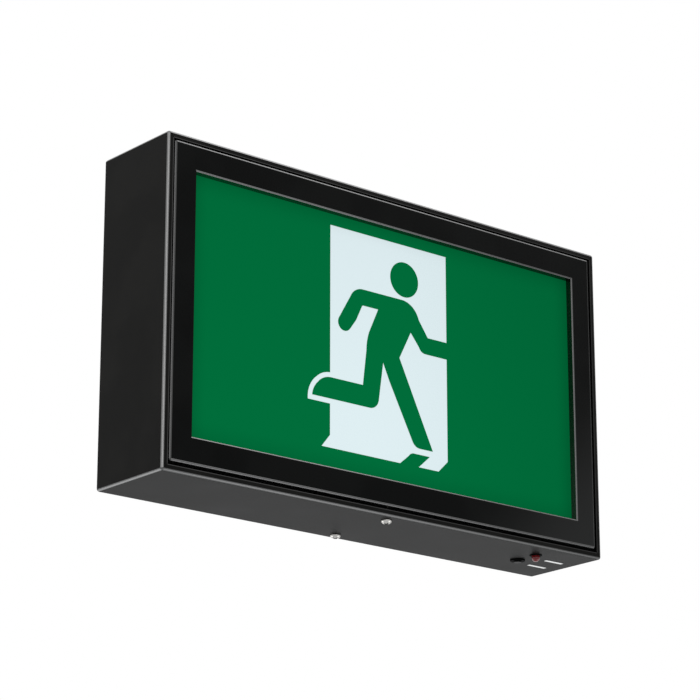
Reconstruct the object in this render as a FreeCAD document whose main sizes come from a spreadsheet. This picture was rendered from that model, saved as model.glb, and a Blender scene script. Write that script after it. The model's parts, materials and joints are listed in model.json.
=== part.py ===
import FreeCAD, Part
import math
import os

import Sketcher

# A steel emergency exit light with one lit face, as a parametric document.
# X runs to the right, Y back to the wall and Z up. The origin is on the wall plane,
# at the centre of the four wall fixings. A depth is measured forwards from the wall,
# so a point at depth d has y = -d. All sizes are in millimetres.

DRIVING = {
    # housing: a folded steel ring with a narrow rim turned inwards at front and back
    "housing_width": 330.0,
    "housing_height": 196.0,
    "housing_depth": 62.0,
    "housing_sheet": 1.0,
    "bend_radius": 1.8,
    "rim_width": 3.8,
    # covers: the front frame and the back plate share one outline and one fixing
    "cover_sheet": 1.0,
    "cover_return": 9.0,
    "cover_gap_side": 1.0,
    "cover_gap_top": 0.5,
    "cover_gap_bottom": 2.2,
    "cover_edge": 0.8,
    "hook_width": 20.0,
    "hook_rise": 2.5,
    "hook_place": 95.0,
    "hook_gap": 0.2,
    "tab_width": 24.0,
    "tab_depth": 15.0,
    "collar_radius": 3.2,
    "collar_rise": 1.5,
    # window of the front frame
    "border_side": 15.3,
    "border_top": 16.0,
    "border_bottom": 16.1,
    "lip_depth": 4.6,
    "lip_sheet": 1.0,
    # cover screws, one under the front edge and one under the back edge
    "screw_inset": 8.0,
    "screw_radius": 1.75,
    "screw_length": 9.5,
    "screw_head_radius": 3.1,
    "screw_head_height": 2.4,
    "screw_head_edge": 1.0,
    "recess_length": 3.6,
    "recess_width": 0.8,
    "recess_depth": 1.4,
    "hole_gap": 0.25,
    "thread_gap": 0.05,
    # legend: a green print on an opal panel
    "print_thick": 0.2,
    "panel_thick": 2.5,
    "panel_overlap": 5.0,
    "door_gap_top": 6.8,
    "door_gap_bottom": 12.4,
    # spring clips that press the panel against the lip, each on a welded stud
    "stud_inset": 9.6,
    "stud_radius": 1.5,
    "stud_length": 5.0,
    "clip_place_side": 42.0,
    "clip_place_top": 100.0,
    "clip_sheet": 0.8,
    "clip_width": 11.0,
    "clip_foot": 7.0,
    "clip_reach": 3.5,
    "clip_gap": 0.3,
    "nut_across": 5.5,
    "nut_thick": 2.4,
    # light tray and its posts
    "post_length": 26.0,
    "post_radius": 3.2,
    "post_inset_side": 10.4,
    "post_inset_up": 19.3,
    "tray_sheet": 0.8,
    "tray_flare": 12.0,
    "tray_inset": 0.5,
    "tray_gap": 0.3,
    "lead_hole_radius": 4.0,
    "lead_hole_inset": 11.4,
    # light boards
    "light_board_end_gap": 19.4,
    "light_board_height": 10.0,
    "board_thick": 1.6,
    "light_row_inset": 18.3,
    "chip_side": 3.0,
    "chip_thick": 0.8,
    "chip_end_gap": 16.2,
    "small_screw_radius": 1.25,
    "small_head_radius": 2.5,
    "small_head_height": 1.6,
    "small_screw_length": 4.0,
    "board_screw_inset": 9.0,
    # back plate openings
    "fixing_inset_side": 20.2,
    "fixing_inset_up": 23.7,
    "fixing_hole_radius": 2.6,
    "slot_place": 44.45,
    "slot_half_width": 2.5,
    "slot_length": 13.0,
    "cable_hole_radius": 8.0,
    "bush_bore_radius": 6.5,
    "bush_flange_radius": 10.5,
    "bush_flange_thick": 1.6,
    "bush_length": 6.0,
    "press_gap": 0.05,
    # driver board and its components
    "driver_inset": 53.0,
    "driver_rise": 27.0,
    "driver_length": 82.0,
    "driver_height": 58.0,
    "spacer_length": 6.0,
    "spacer_radius": 2.6,
    "spacer_inset": 4.5,
    "core_length": 30.0,
    "core_height": 25.0,
    "core_thick": 10.0,
    "core_inset": 24.0,
    "core_rise": 12.0,
    "core_limb": 5.0,
    "coil_depth": 15.0,
    "coil_gap": 0.3,
    "big_capacitor_radius": 5.0,
    "big_capacitor_length": 13.0,
    "small_capacitor_radius": 3.2,
    "small_capacitor_length": 9.0,
    "relay_length": 15.0,
    "relay_height": 10.0,
    "relay_thick": 11.0,
    "control_chip_length": 10.0,
    "control_chip_height": 6.5,
    "control_chip_thick": 2.0,
    "socket_length": 6.0,
    "socket_height": 5.0,
    "socket_thick": 7.0,
    "terminal_length": 18.0,
    "terminal_height": 8.0,
    "terminal_thick": 10.0,
    "terminal_pitch": 5.5,
    "terminal_screw_radius": 1.6,
    "terminal_screw_depth": 1.2,
    # battery pack and its strap
    "cell_radius": 7.2,
    "cell_length": 50.0,
    "pack_inset": 53.0,
    "pack_rise": 70.0,
    "strap_width": 14.0,
    "strap_sheet": 1.0,
    "strap_foot": 9.0,
    "strap_gap": 0.3,
    # test switch
    "switch_inset": 39.0,
    "switch_depth": 29.0,
    "switch_body_side": 12.0,
    "switch_body_height": 11.0,
    "switch_bush_radius": 3.5,
    "nut_ring_radius": 4.6,
    "nut_ring_thick": 0.8,
    "button_radius": 2.5,
    "button_stand": 0.2,
    "button_travel": 0.5,
    "button_gap": 0.15,
    "plunger_flange_radius": 3.0,
    "plunger_flange_thick": 1.0,
    "plunger_rest_gap": 0.1,
    "mouth_height": 3.0,
    "spring_room": 5.0,
    "spring_radius": 2.1,
    "spring_wire_radius": 0.25,
    "spring_pitch": 1.2,
    # pilot lamp
    "lamp_inset": 39.0,
    "lamp_depth": 45.0,
    "lamp_radius": 2.5,
    "lamp_proud": 4.0,
    "lamp_flange_radius": 2.9,
    "lamp_flange_thick": 1.0,
    "holder_hole_radius": 3.3,
    "holder_ring_radius": 3.8,
    "holder_ring_thick": 0.5,
    "holder_height": 4.5,
    # plain white marks beside the switch and the lamp
    "mark_gap": 14.0,
    "mark_length": 14.0,
    "mark_width": 2.2,
    "mark_thick": 0.1,
    "switch_mark_depth": 23.7,
    "lamp_mark_depth": 38.6,
    # internal leads
    "lead_radius": 0.8,
    "lead_spread": 2.2,
    "lead_stub": 6.0,
    "lead_drop": 8.0,
    "lead_sag": 10.0,
    "jumper_inset": 22.0,
    "jumper_rise": 2.6,
    "jumper_radius": 0.6,
}

LIGHT_ROWS = {"lower": -1, "middle": 0, "upper": 1}
CHIPS_IN_ROW = 12
BOTH_SIDES = (-1, 1)
DRAWN_DOOR_HEIGHT = 134.4
DRAWN_DOOR_BOTTOM = -63.5


class Size:
    """A length that keeps its value and the expression that gives it from the sheet."""

    def __init__(self, value, text):
        self.value = value
        self.text = text

    def join(self, other, sign, value, turned=False):
        right = other.text if isinstance(other, Size) else str(other)
        left, right = (right, self.text) if turned else (self.text, right)
        return Size(value, f"({left} {sign} {right})")

    def __add__(self, other):
        return self.join(other, "+", self.value + number(other))

    def __sub__(self, other):
        return self.join(other, "-", self.value - number(other))

    def __mul__(self, other):
        return self.join(other, "*", self.value * number(other))

    def __rmul__(self, other):
        return self.join(other, "*", number(other) * self.value, turned=True)

    def __truediv__(self, other):
        return self.join(other, "/", self.value / number(other))

    def __neg__(self):
        return self * -1


def number(size):
    return size.value if isinstance(size, Size) else float(size)


class Sheet:
    """The document's spreadsheet: one row and one alias for each driving size."""

    def __init__(self, doc, driving):
        self.sheet = doc.addObject("Spreadsheet::Sheet", "Sizes")
        self.driving = driving
        for row, (alias, value) in enumerate(driving.items(), start=1):
            self.sheet.set(f"A{row}", alias)
            self.sheet.set(f"B{row}", str(value))
            self.sheet.setAlias(f"B{row}", alias)

    def __getattr__(self, alias):
        return Size(self.driving[alias], f"Sizes.{alias}")


doc = FreeCAD.newDocument("ExitLight")
S = Sheet(doc, DRIVING)
ZERO = Size(0.0, "0")
doc.recompute()

# Edges and levels that several pieces share
HALF_WIDTH = S.housing_width / 2
HALF_HEIGHT = S.housing_height / 2
BOTTOM_FACE = -HALF_HEIGHT
COVER_RIGHT = HALF_WIDTH - S.rim_width - S.cover_gap_side
COVER_TOP = HALF_HEIGHT - S.rim_width - S.cover_gap_top
COVER_BOTTOM = S.rim_width + S.cover_gap_bottom - HALF_HEIGHT
WINDOW_RIGHT = COVER_RIGHT - S.border_side
WINDOW_TOP = COVER_TOP - S.border_top
WINDOW_BOTTOM = COVER_BOTTOM + S.border_bottom
WINDOW_MIDDLE = (WINDOW_TOP + WINDOW_BOTTOM) / 2
TRAY_RIM_SIDE = WINDOW_RIGHT - S.tray_inset
TRAY_RIM_UP = (WINDOW_TOP - WINDOW_BOTTOM) / 2 - S.tray_inset
TRAY_FLOOR_SIDE = TRAY_RIM_SIDE - S.tray_flare
TRAY_FLOOR_UP = TRAY_RIM_UP - S.tray_flare
LIGHT_BOARD_HALF = TRAY_FLOOR_SIDE - S.light_board_end_gap
LEAD_HOLE_SIDE = TRAY_FLOOR_SIDE - S.lead_hole_inset
PANEL_RIGHT = WINDOW_RIGHT + S.panel_overlap
PANEL_TOP = WINDOW_TOP + S.panel_overlap
PANEL_BOTTOM = WINDOW_BOTTOM - S.panel_overlap
FRAME_BACK = S.housing_depth - S.cover_sheet
PRINT_FRONT = S.housing_depth - S.lip_depth
PANEL_FRONT = PRINT_FRONT - S.print_thick
PANEL_BACK = PANEL_FRONT - S.panel_thick
TRAY_RIM = PANEL_BACK - S.tray_gap
TRAY_BACK = S.cover_sheet + S.post_length
TRAY_FRONT = TRAY_BACK + S.tray_sheet
LIGHT_FACE = TRAY_FRONT + S.board_thick
DRIVER_BACK = S.cover_sheet + S.spacer_length
DRIVER_FACE = DRIVER_BACK + S.board_thick
SOCKET_CENTRE = DRIVER_FACE + S.socket_thick / 2
DRIVER_RIGHT = HALF_WIDTH - S.driver_inset
DRIVER_LEFT = DRIVER_RIGHT - S.driver_length
DRIVER_BOTTOM = BOTTOM_FACE + S.driver_rise
DRIVER_TOP = DRIVER_BOTTOM + S.driver_height
CORE_LEFT = DRIVER_LEFT + S.core_inset
CORE_BOTTOM = DRIVER_BOTTOM + S.core_rise
PACK_LEFT = S.pack_inset - HALF_WIDTH
PACK_MIDDLE = BOTTOM_FACE + S.pack_rise
SWITCH_SIDE = HALF_WIDTH - S.switch_inset
LAMP_SIDE = HALF_WIDTH - S.lamp_inset
FIXING_SIDE = COVER_RIGHT - S.fixing_inset_side
FIXING_UP = COVER_TOP - S.fixing_inset_up
MOUTH_TOP = BOTTOM_FACE + S.housing_sheet + S.mouth_height
SPRING_FOOT = MOUTH_TOP + S.plunger_rest_gap + S.plunger_flange_thick
SPRING_HEAD = SPRING_FOOT + S.spring_room

nodes = {}


def tie(item, field, size):
    """Bind one property to its expression on the sheet."""
    item.setExpression(field, size.text)


def node(name, item):
    item.Label = name
    nodes[name] = item
    return item


# Sketches and features of the folded pieces


def new_sketch(body, name, plane, offset=None):
    sketch = body.newObject("Sketcher::SketchObject", name)
    origin = next(item for item in body.Origin.OriginFeatures if item.Role == plane)
    sketch.AttachmentSupport = [(origin, "")]
    sketch.MapMode = "FlatFace"
    if offset is not None:
        tie(sketch, "AttachmentOffset.Base.z", offset)
    return sketch


def fix_point(sketch, line, end, across, up):
    for kind, size in (("DistanceX", across), ("DistanceY", up)):
        rule = Sketcher.Constraint(kind, -1, 1, line, end, size.value)
        tie(sketch, f"Constraints[{sketch.addConstraint(rule)}]", size)


def add_rectangle(sketch, left, bottom, right, top):
    corners = [(left, bottom), (right, bottom), (right, top), (left, top)]
    points = [FreeCAD.Vector(number(a), number(b), 0) for a, b in corners]
    sides = []
    for index in range(4):
        edge = Part.LineSegment(points[index], points[(index + 1) % 4])
        sides.append(sketch.addGeometry(edge))
    for index in range(4):
        following = sides[(index + 1) % 4]
        sketch.addConstraint(Sketcher.Constraint("Coincident", sides[index], 2, following, 1))
        kind = "Vertical" if index % 2 else "Horizontal"
        sketch.addConstraint(Sketcher.Constraint(kind, sides[index]))
    fix_point(sketch, sides[0], 1, left, bottom)
    fix_point(sketch, sides[1], 2, right, top)


def add_circle(sketch, across, up, radius):
    middle = FreeCAD.Vector(across.value, up.value, 0)
    shape = Part.Circle(middle, FreeCAD.Vector(0, 0, 1), radius.value)
    circle = sketch.addGeometry(shape)
    fix_point(sketch, circle, 3, across, up)
    rule = Sketcher.Constraint("Radius", circle, radius.value)
    tie(sketch, f"Constraints[{sketch.addConstraint(rule)}]", radius)


def add_feature(body, kind, name, sketch, length):
    feature = body.newObject(f"PartDesign::{kind}", name)
    feature.Profile = sketch
    tie(feature, "Length", length)
    sketch.Visibility = False
    return feature


def plate_sketch(body, name, depth, rectangles=(), circles=()):
    """A sketch that stands parallel to the wall at a depth."""
    sketch = new_sketch(body, name, "XZ_Plane", depth)
    for corners in rectangles:
        add_rectangle(sketch, *corners)
    for circle in circles:
        add_circle(sketch, *circle)
    return sketch


def pad_forward(body, name, depth, length, rectangles=(), circles=()):
    sketch = plate_sketch(body, f"{name}Sketch", depth, rectangles, circles)
    return add_feature(body, "Pad", name, sketch, length)


def cut_backward(body, name, depth, length, rectangles=(), circles=()):
    sketch = plate_sketch(body, f"{name}Sketch", depth, rectangles, circles)
    return add_feature(body, "Pocket", name, sketch, length)


def level_feature(body, kind, name, height, length, rectangles=(), circles=()):
    """A pad up or a pocket down from a level; rectangles and circles are in x and y."""
    sketch = new_sketch(body, f"{name}Sketch", "XY_Plane", height)
    for corners in rectangles:
        add_rectangle(sketch, *corners)
    for circle in circles:
        add_circle(sketch, *circle)
    return add_feature(body, kind, name, sketch, length)


def round_edges(body, name, radius, choose):
    doc.recompute()
    base = body.Tip
    chosen = []
    for index, edge in enumerate(base.Shape.Edges, start=1):
        if choose(edge):
            chosen.append(f"Edge{index}")
    fillet = body.newObject("PartDesign::Fillet", name)
    fillet.Base = (base, chosen)
    tie(fillet, "Radius", radius)
    return fillet


def at_depth(edge, depth):
    return all(abs(point.Y + depth.value) < 1e-6 for point in edge.Vertexes)


# Plain blocks, rods and groups


def block(left, right, back, front, bottom, top):
    """A box between two sides, two depths and two levels."""
    box = doc.addObject("Part::Box", "Block")
    tie(box, "Length", right - left)
    tie(box, "Width", front - back)
    tie(box, "Height", top - bottom)
    tie(box, "Placement.Base.x", left)
    tie(box, "Placement.Base.y", -front)
    tie(box, "Placement.Base.z", bottom)
    return box


def rod_forward(across, back, up, radius, length):
    """A cylinder that starts at a depth and runs forwards."""
    rod = doc.addObject("Part::Cylinder", "Rod")
    rod.Placement.Rotation = FreeCAD.Rotation(FreeCAD.Vector(1, 0, 0), 90)
    tie(rod, "Radius", radius)
    tie(rod, "Height", length)
    tie(rod, "Placement.Base.x", across)
    tie(rod, "Placement.Base.y", -back)
    tie(rod, "Placement.Base.z", up)
    return rod


def rod_up(across, depth, bottom, radius, length):
    """A cylinder that starts at a level and runs up."""
    rod = doc.addObject("Part::Cylinder", "Rod")
    tie(rod, "Radius", radius)
    tie(rod, "Height", length)
    tie(rod, "Placement.Base.x", across)
    tie(rod, "Placement.Base.y", -depth)
    tie(rod, "Placement.Base.z", bottom)
    return rod


def rod_across(left, depth, up, radius, length):
    """A cylinder that starts at a side and runs to the right."""
    rod = doc.addObject("Part::Cylinder", "Rod")
    rod.Placement.Rotation = FreeCAD.Rotation(FreeCAD.Vector(0, 1, 0), 90)
    tie(rod, "Radius", radius)
    tie(rod, "Height", length)
    tie(rod, "Placement.Base.x", left)
    tie(rod, "Placement.Base.y", -depth)
    tie(rod, "Placement.Base.z", up)
    return rod


def hex_forward(across, back, up, circumradius, length):
    """A hexagonal prism that starts at a depth and runs forwards."""
    prism = doc.addObject("Part::Prism", "Hexagon")
    prism.Polygon = 6
    prism.Placement.Rotation = FreeCAD.Rotation(FreeCAD.Vector(1, 0, 0), 90)
    tie(prism, "Circumradius", circumradius)
    tie(prism, "Height", length)
    tie(prism, "Placement.Base.x", across)
    tie(prism, "Placement.Base.y", -back)
    tie(prism, "Placement.Base.z", up)
    return prism


def fuse(*pieces):
    joined = doc.addObject("Part::MultiFuse", "Joined")
    joined.Shapes = list(pieces)
    return joined


def cut(base, *tools):
    tool = tools[0] if len(tools) == 1 else fuse(*tools)
    result = doc.addObject("Part::Cut", "Cut")
    result.Base = base
    result.Tool = tool
    return result


def group(pieces):
    """Identical separate solids that share one node."""
    together = doc.addObject("Part::Compound", "Group")
    together.Links = list(pieces)
    return together


def small_screw(across, seat, up):
    """A small pan-head screw whose head stands forwards from its seat's depth."""
    head = rod_forward(across, seat, up, S.small_head_radius, S.small_head_height)
    shank_back = seat - S.small_screw_length
    shank = rod_forward(across, shank_back, up, S.small_screw_radius, S.small_screw_length)
    return fuse(head, shank)


# Housing


def make_housing():
    body = doc.addObject("PartDesign::Body", "Housing")
    outline = (-HALF_WIDTH, -HALF_HEIGHT, HALF_WIDTH, HALF_HEIGHT)
    pad_forward(body, "HousingBlock", ZERO, S.housing_depth, [outline])
    round_edges(body, "HousingBends", S.bend_radius, lambda edge: True)
    side = HALF_WIDTH - S.rim_width
    end = HALF_HEIGHT - S.rim_width
    cut_backward(body, "HousingOpening", S.housing_depth, S.housing_depth, [(-side, -end, side, end)])
    side = HALF_WIDTH - S.housing_sheet
    end = HALF_HEIGHT - S.housing_sheet
    front = S.housing_depth - S.housing_sheet
    hollow = S.housing_depth - 2 * S.housing_sheet
    cut_backward(body, "HousingHollow", front, hollow, [(-side, -end, side, end)])
    screw_hole = S.screw_radius + S.hole_gap
    holes = [
        (ZERO, S.screw_inset - S.housing_depth, screw_hole),
        (ZERO, -S.screw_inset, screw_hole),
        (SWITCH_SIDE, -S.switch_depth, S.switch_bush_radius + S.press_gap),
        (LAMP_SIDE, -S.lamp_depth, S.holder_hole_radius),
    ]
    floor = BOTTOM_FACE + S.housing_sheet
    level_feature(body, "Pocket", "BottomHoles", floor, 2 * S.housing_sheet, circles=holes)
    node("housing", body)


# Covers: the fixing that the front frame and the back plate share


def cover_outline(inset=ZERO):
    left = inset - COVER_RIGHT
    return (left, COVER_BOTTOM + inset, COVER_RIGHT - inset, COVER_TOP - inset)


def add_screw_tab(body, back, screw_depth):
    """The tab below the bottom return, with the drawn collar that the screw bites into."""
    half = S.tab_width / 2
    top = COVER_BOTTOM + S.cover_sheet
    length = S.tab_depth - S.cover_return
    pad_forward(body, "ScrewTab", back, length, [(-half, COVER_BOTTOM, half, top)])
    middle = ZERO
    collar = [(middle, -screw_depth, S.collar_radius)]
    level_feature(body, "Pad", "ScrewCollar", top, S.collar_rise, circles=collar)
    hole = [(middle, -screw_depth, S.screw_radius + S.thread_gap)]
    reach = S.collar_rise + S.cover_sheet
    level_feature(body, "Pocket", "ScrewHole", top + S.collar_rise, reach * 1.2, circles=hole)


def add_hooks(body, back, slot_back):
    """Two lanced hooks that stand up behind the housing's rim, and the slots they leave."""
    half = S.hook_width / 2
    hooks = []
    slots = []
    slot_front = slot_back + S.hook_rise
    for side in BOTH_SIDES:
        middle = side * S.hook_place
        foot = COVER_TOP - S.cover_sheet
        hooks.append((middle - half, foot, middle + half, COVER_TOP + S.hook_rise))
        slots.append((middle - half, -slot_front, middle + half, -slot_back))
    pad_forward(body, "Hooks", back, S.cover_sheet, hooks)
    level_feature(body, "Pocket", "HookSlots", COVER_TOP, 1.5 * S.cover_sheet, rectangles=slots)


def clip_spots():
    """Where the studs stand: x, z and the outward direction of each."""
    spots = []
    for side in BOTH_SIDES:
        for level in BOTH_SIDES:
            up = WINDOW_MIDDLE + level * S.clip_place_side
            spots.append((side * (WINDOW_RIGHT + S.stud_inset), up, (side, 0)))
        across = side * S.clip_place_top
        spots.append((across, WINDOW_TOP + S.stud_inset, (0, 1)))
        spots.append((across, WINDOW_BOTTOM - S.stud_inset, (0, -1)))
    return spots


def make_front_frame():
    body = doc.addObject("PartDesign::Body", "FrontFrame")
    back = S.housing_depth - S.cover_return
    pad_forward(body, "FrameBlock", back, S.cover_return, [cover_outline()])
    inner = [cover_outline(S.cover_sheet)]
    cut_backward(body, "FrameHollow", FRAME_BACK, S.cover_return, inner)
    window = (-WINDOW_RIGHT, WINDOW_BOTTOM, WINDOW_RIGHT, WINDOW_TOP)
    cut_backward(body, "FrameWindow", S.housing_depth, S.cover_return, [window])
    lip_out = (
        -(WINDOW_RIGHT + S.lip_sheet),
        WINDOW_BOTTOM - S.lip_sheet,
        WINDOW_RIGHT + S.lip_sheet,
        WINDOW_TOP + S.lip_sheet,
    )
    lip_length = S.lip_depth - S.cover_sheet
    pad_forward(body, "WindowLip", PRINT_FRONT, lip_length, [lip_out, window])
    add_screw_tab(body, S.housing_depth - S.tab_depth, S.housing_depth - S.screw_inset)
    rim_back = S.housing_depth - S.housing_sheet
    hook_back = rim_back - S.hook_gap - S.cover_sheet
    add_hooks(body, hook_back, hook_back - S.hook_rise)
    studs = [(across, up, S.stud_radius) for across, up, _ in clip_spots()]
    stud_back = FRAME_BACK - S.stud_length
    pad_forward(body, "ClipStuds", stud_back, S.stud_length, circles=studs)

    def front_edge(edge):
        return at_depth(edge, S.housing_depth)

    round_edges(body, "FrameEdges", S.cover_edge, front_edge)
    node("front_frame", body)


def make_back_plate():
    body = doc.addObject("PartDesign::Body", "BackPlate")
    wall = ZERO
    pad_forward(body, "PlateBlock", wall, S.cover_return, [cover_outline()])
    inner = [cover_outline(S.cover_sheet)]
    depth = S.cover_return - S.cover_sheet
    cut_backward(body, "PlateHollow", S.cover_return, depth, inner)
    add_screw_tab(body, S.cover_return, S.screw_inset)
    hook_back = S.housing_sheet + S.hook_gap
    add_hooks(body, hook_back, hook_back + S.cover_sheet)
    fixings = []
    slots = []
    slot_ends = []
    run = S.slot_length / 2 - S.slot_half_width
    middle = ZERO
    for side in BOTH_SIDES:
        for level in BOTH_SIDES:
            spot = (side * FIXING_SIDE, level * FIXING_UP, S.fixing_hole_radius)
            fixings.append(spot)
        across = side * S.slot_place
        slots.append((across - run, -S.slot_half_width, across + run, S.slot_half_width))
        for end in BOTH_SIDES:
            slot_ends.append((across + end * run, middle, S.slot_half_width))
    cable = (middle, middle, S.cable_hole_radius)
    through = 2 * S.cover_sheet
    cut_backward(body, "PlateHoles", S.cover_sheet, through, circles=[*fixings, cable])
    cut_backward(body, "PlateSlots", S.cover_sheet, through, slots)
    cut_backward(body, "PlateSlotEnds", S.cover_sheet, through, circles=slot_ends)

    def outer_edge(edge):
        long_edge = edge.Length > S.cover_return.value * 2
        return at_depth(edge, wall) and long_edge and edge.Curve.TypeId == "Part::GeomLine"

    round_edges(body, "PlateEdges", S.cover_edge, outer_edge)
    node("back_plate", body)


def make_cable_bush():
    wall = ZERO
    barrel = rod_forward(wall, wall, wall, S.cable_hole_radius - S.press_gap, S.bush_length)
    flange = rod_forward(wall, S.cover_sheet, wall, S.bush_flange_radius, S.bush_flange_thick)
    bore = rod_forward(wall, wall - S.cover_sheet, wall, S.bush_bore_radius, S.bush_length * 2)
    node("cable_bush", cut(fuse(barrel, flange), bore))


# Cover screws


def make_cover_screw(name, depth):
    """A pan-head screw driven up through the housing's bottom, turned from one profile."""
    body = doc.addObject("PartDesign::Body", "CoverScrew")
    sketch = new_sketch(body, "ScrewProfile", "XZ_Plane")
    shoulder = -S.screw_head_edge
    points = [
        (None, -S.screw_head_height),
        (S.screw_head_radius, shoulder),
        (S.screw_head_radius, ZERO),
        (S.screw_radius, ZERO),
        (S.screw_radius, S.screw_length),
        (None, S.screw_length),
    ]
    places = [FreeCAD.Vector(number(a) if a else 0, number(b), 0) for a, b in points]
    rise = S.screw_head_height.value - S.screw_head_edge.value
    dome = (S.screw_head_radius.value**2 + rise**2) / (2 * rise)
    middle = FreeCAD.Vector(0, dome - S.screw_head_height.value, 0)
    circle = Part.Circle(middle, FreeCAD.Vector(0, 0, 1), dome)
    finish = math.atan2(places[1].y - middle.y, places[1].x)
    lines = [sketch.addGeometry(Part.ArcOfCircle(circle, -math.pi / 2, finish))]
    for index in range(1, len(places)):
        following = places[(index + 1) % len(places)]
        lines.append(sketch.addGeometry(Part.LineSegment(places[index], following)))
    for index, line in enumerate(lines):
        following = lines[(index + 1) % len(lines)]
        sketch.addConstraint(Sketcher.Constraint("Coincident", line, 2, following, 1))
    sketch.addConstraint(Sketcher.Constraint("PointOnObject", lines[0], 3, -2))
    for line, (across, up) in zip(lines, points):
        if across is None:
            sketch.addConstraint(Sketcher.Constraint("PointOnObject", line, 1, -2))
        else:
            rule = Sketcher.Constraint("DistanceX", -1, 1, line, 1, across.value)
            tie(sketch, f"Constraints[{sketch.addConstraint(rule)}]", across)
        rule = Sketcher.Constraint("DistanceY", -1, 1, line, 1, up.value)
        tie(sketch, f"Constraints[{sketch.addConstraint(rule)}]", up)
    turned = body.newObject("PartDesign::Revolution", "Turned")
    turned.Profile = sketch
    turned.ReferenceAxis = (sketch, ["V_Axis"])
    turned.Angle = 360
    sketch.Visibility = False
    half = S.recess_length / 2
    thin = S.recess_width / 2
    top = S.recess_depth - S.screw_head_height
    for label, across, along in (("RecessAcross", half, thin), ("RecessAlong", thin, half)):
        corners = [(-across, -along, across, along)]
        level_feature(body, "Pocket", label, top, S.recess_depth * 2, rectangles=corners)
    tie(body, "Placement.Base.y", -depth)
    tie(body, "Placement.Base.z", BOTTOM_FACE)
    node(name, body)


# Legend: the running figure and the doorway, drawn about the housing's centre.
# A point is (x, z); a triple starts with "arc" and gives the point it passes and its end.

DOORWAY = [
    (-44.7, 70.9),
    (44.8, 70.9),
    (44.8, -56.4),
    (37.5, -63.5),
    (-50.8, -63.5),
    (-44.7, -56.0),
]
REAR_SHOE_EDGE = [
    (-44.0, -18.8),
    ("arc", (-49.9, -20.0), (-54.3, -22.8)),
    ("arc", (-59.3, -28.7), (-61.0, -37.5)),
    (-44.0, -37.5),
]
RUNNER = [
    (9.5, 36.4),
    (-20.0, 36.4),
    ("arc", (-25.4, 35.0), (-29.3, 30.6)),
    (-37.9, 15.9),
    ("arc", (-35.4, 8.6), (-29.9, 10.3)),
    (-25.3, 16.6),
    (-21.1, 25.3),
    ("arc", (-20.5, 26.3), (-19.3, 26.6)),
    (-8.4, 26.6),
    (-15.5, 11.0),
    ("arc", (-16.9, 5.6), (-17.4, 0.0)),
    (-20.1, -21.7),
    (-44.3, -21.7),
    ("arc", (-49.4, -22.9), (-53.6, -26.2)),
    ("arc", (-56.5, -30.1), (-57.7, -34.4)),
    (-14.6, -34.4),
    ("arc", (-10.3, -32.6), (-8.2, -28.5)),
    (-4.8, -5.0),
    (0.0, -15.4),
    (17.5, -48.6),
    ("arc", (19.8, -51.2), (23.2, -52.2)),
    (33.1, -52.2),
    (7.7, 0.2),
    (16.6, 17.6),
    (23.0, 9.9),
    ("arc", (25.0, 7.4), (28.0, 6.5)),
    (47.0, 6.5),
    (47.0, 16.8),
    (29.9, 16.8),
    (22.9, 26.6),
    ("arc", (17.6, 33.9), (9.5, 36.4)),
]
SHADOW_SHOE = [
    (5.5, -65.5),
    (14.6, -57.9),
    ("arc", (16.1, -56.5), (17.9, -55.9)),
    (30.7, -55.9),
    (19.8, -65.5),
]
HEAD_MIDDLE = (11.8, 49.3)
HEAD_RADIUS = 10.8


def drawn_face(outline, scale, rise):
    """A flat face on the panel's front from a closed outline of lines and arcs."""

    def place(point):
        return FreeCAD.Vector(point[0] * scale, -PANEL_FRONT.value, point[1] * scale + rise)

    start = place(outline[0])
    here = start
    edges = []
    for step in outline[1:]:
        if step[0] == "arc":
            end = place(step[2])
            edges.append(Part.Arc(here, place(step[1]), end).toShape())
        else:
            end = place(step)
            edges.append(Part.LineSegment(here, end).toShape())
        here = end
    if here.distanceToPoint(start) > 1e-6:
        edges.append(Part.LineSegment(here, start).toShape())
    return Part.Face(Part.Wire(edges))


def make_legend():
    door_bottom = (WINDOW_BOTTOM + S.door_gap_bottom).value
    door_height = (WINDOW_TOP - S.door_gap_top).value - door_bottom
    scale = door_height / DRAWN_DOOR_HEIGHT
    rise = door_bottom - scale * DRAWN_DOOR_BOTTOM
    forward = FreeCAD.Vector(0, -S.print_thick.value, 0)
    field = Part.makeBox(
        2 * PANEL_RIGHT.value,
        S.print_thick.value,
        PANEL_TOP.value - PANEL_BOTTOM.value,
        FreeCAD.Vector(-PANEL_RIGHT.value, -PRINT_FRONT.value, PANEL_BOTTOM.value),
    )
    for outline in (DOORWAY, REAR_SHOE_EDGE):
        field = field.cut(drawn_face(outline, scale, rise).extrude(forward))
    for outline in (RUNNER, SHADOW_SHOE):
        field = field.fuse(drawn_face(outline, scale, rise).extrude(forward))
    legend = doc.addObject("Part::Feature", "Legend")
    legend.Shape = field.removeSplitter().Solids[0]
    node("legend_print", legend)
    head = doc.addObject("Part::Feature", "LegendHead")
    middle_up = HEAD_MIDDLE[1] * scale + rise
    middle = FreeCAD.Vector(HEAD_MIDDLE[0] * scale, -PANEL_FRONT.value, middle_up)
    toward = FreeCAD.Vector(0, -1, 0)
    head.Shape = Part.makeCylinder(HEAD_RADIUS * scale, S.print_thick.value, middle, toward)
    node("legend_head", head)


def make_panel():
    panel = block(-PANEL_RIGHT, PANEL_RIGHT, PANEL_BACK, PANEL_FRONT, PANEL_BOTTOM, PANEL_TOP)
    node("diffuser_panel", panel)


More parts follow.
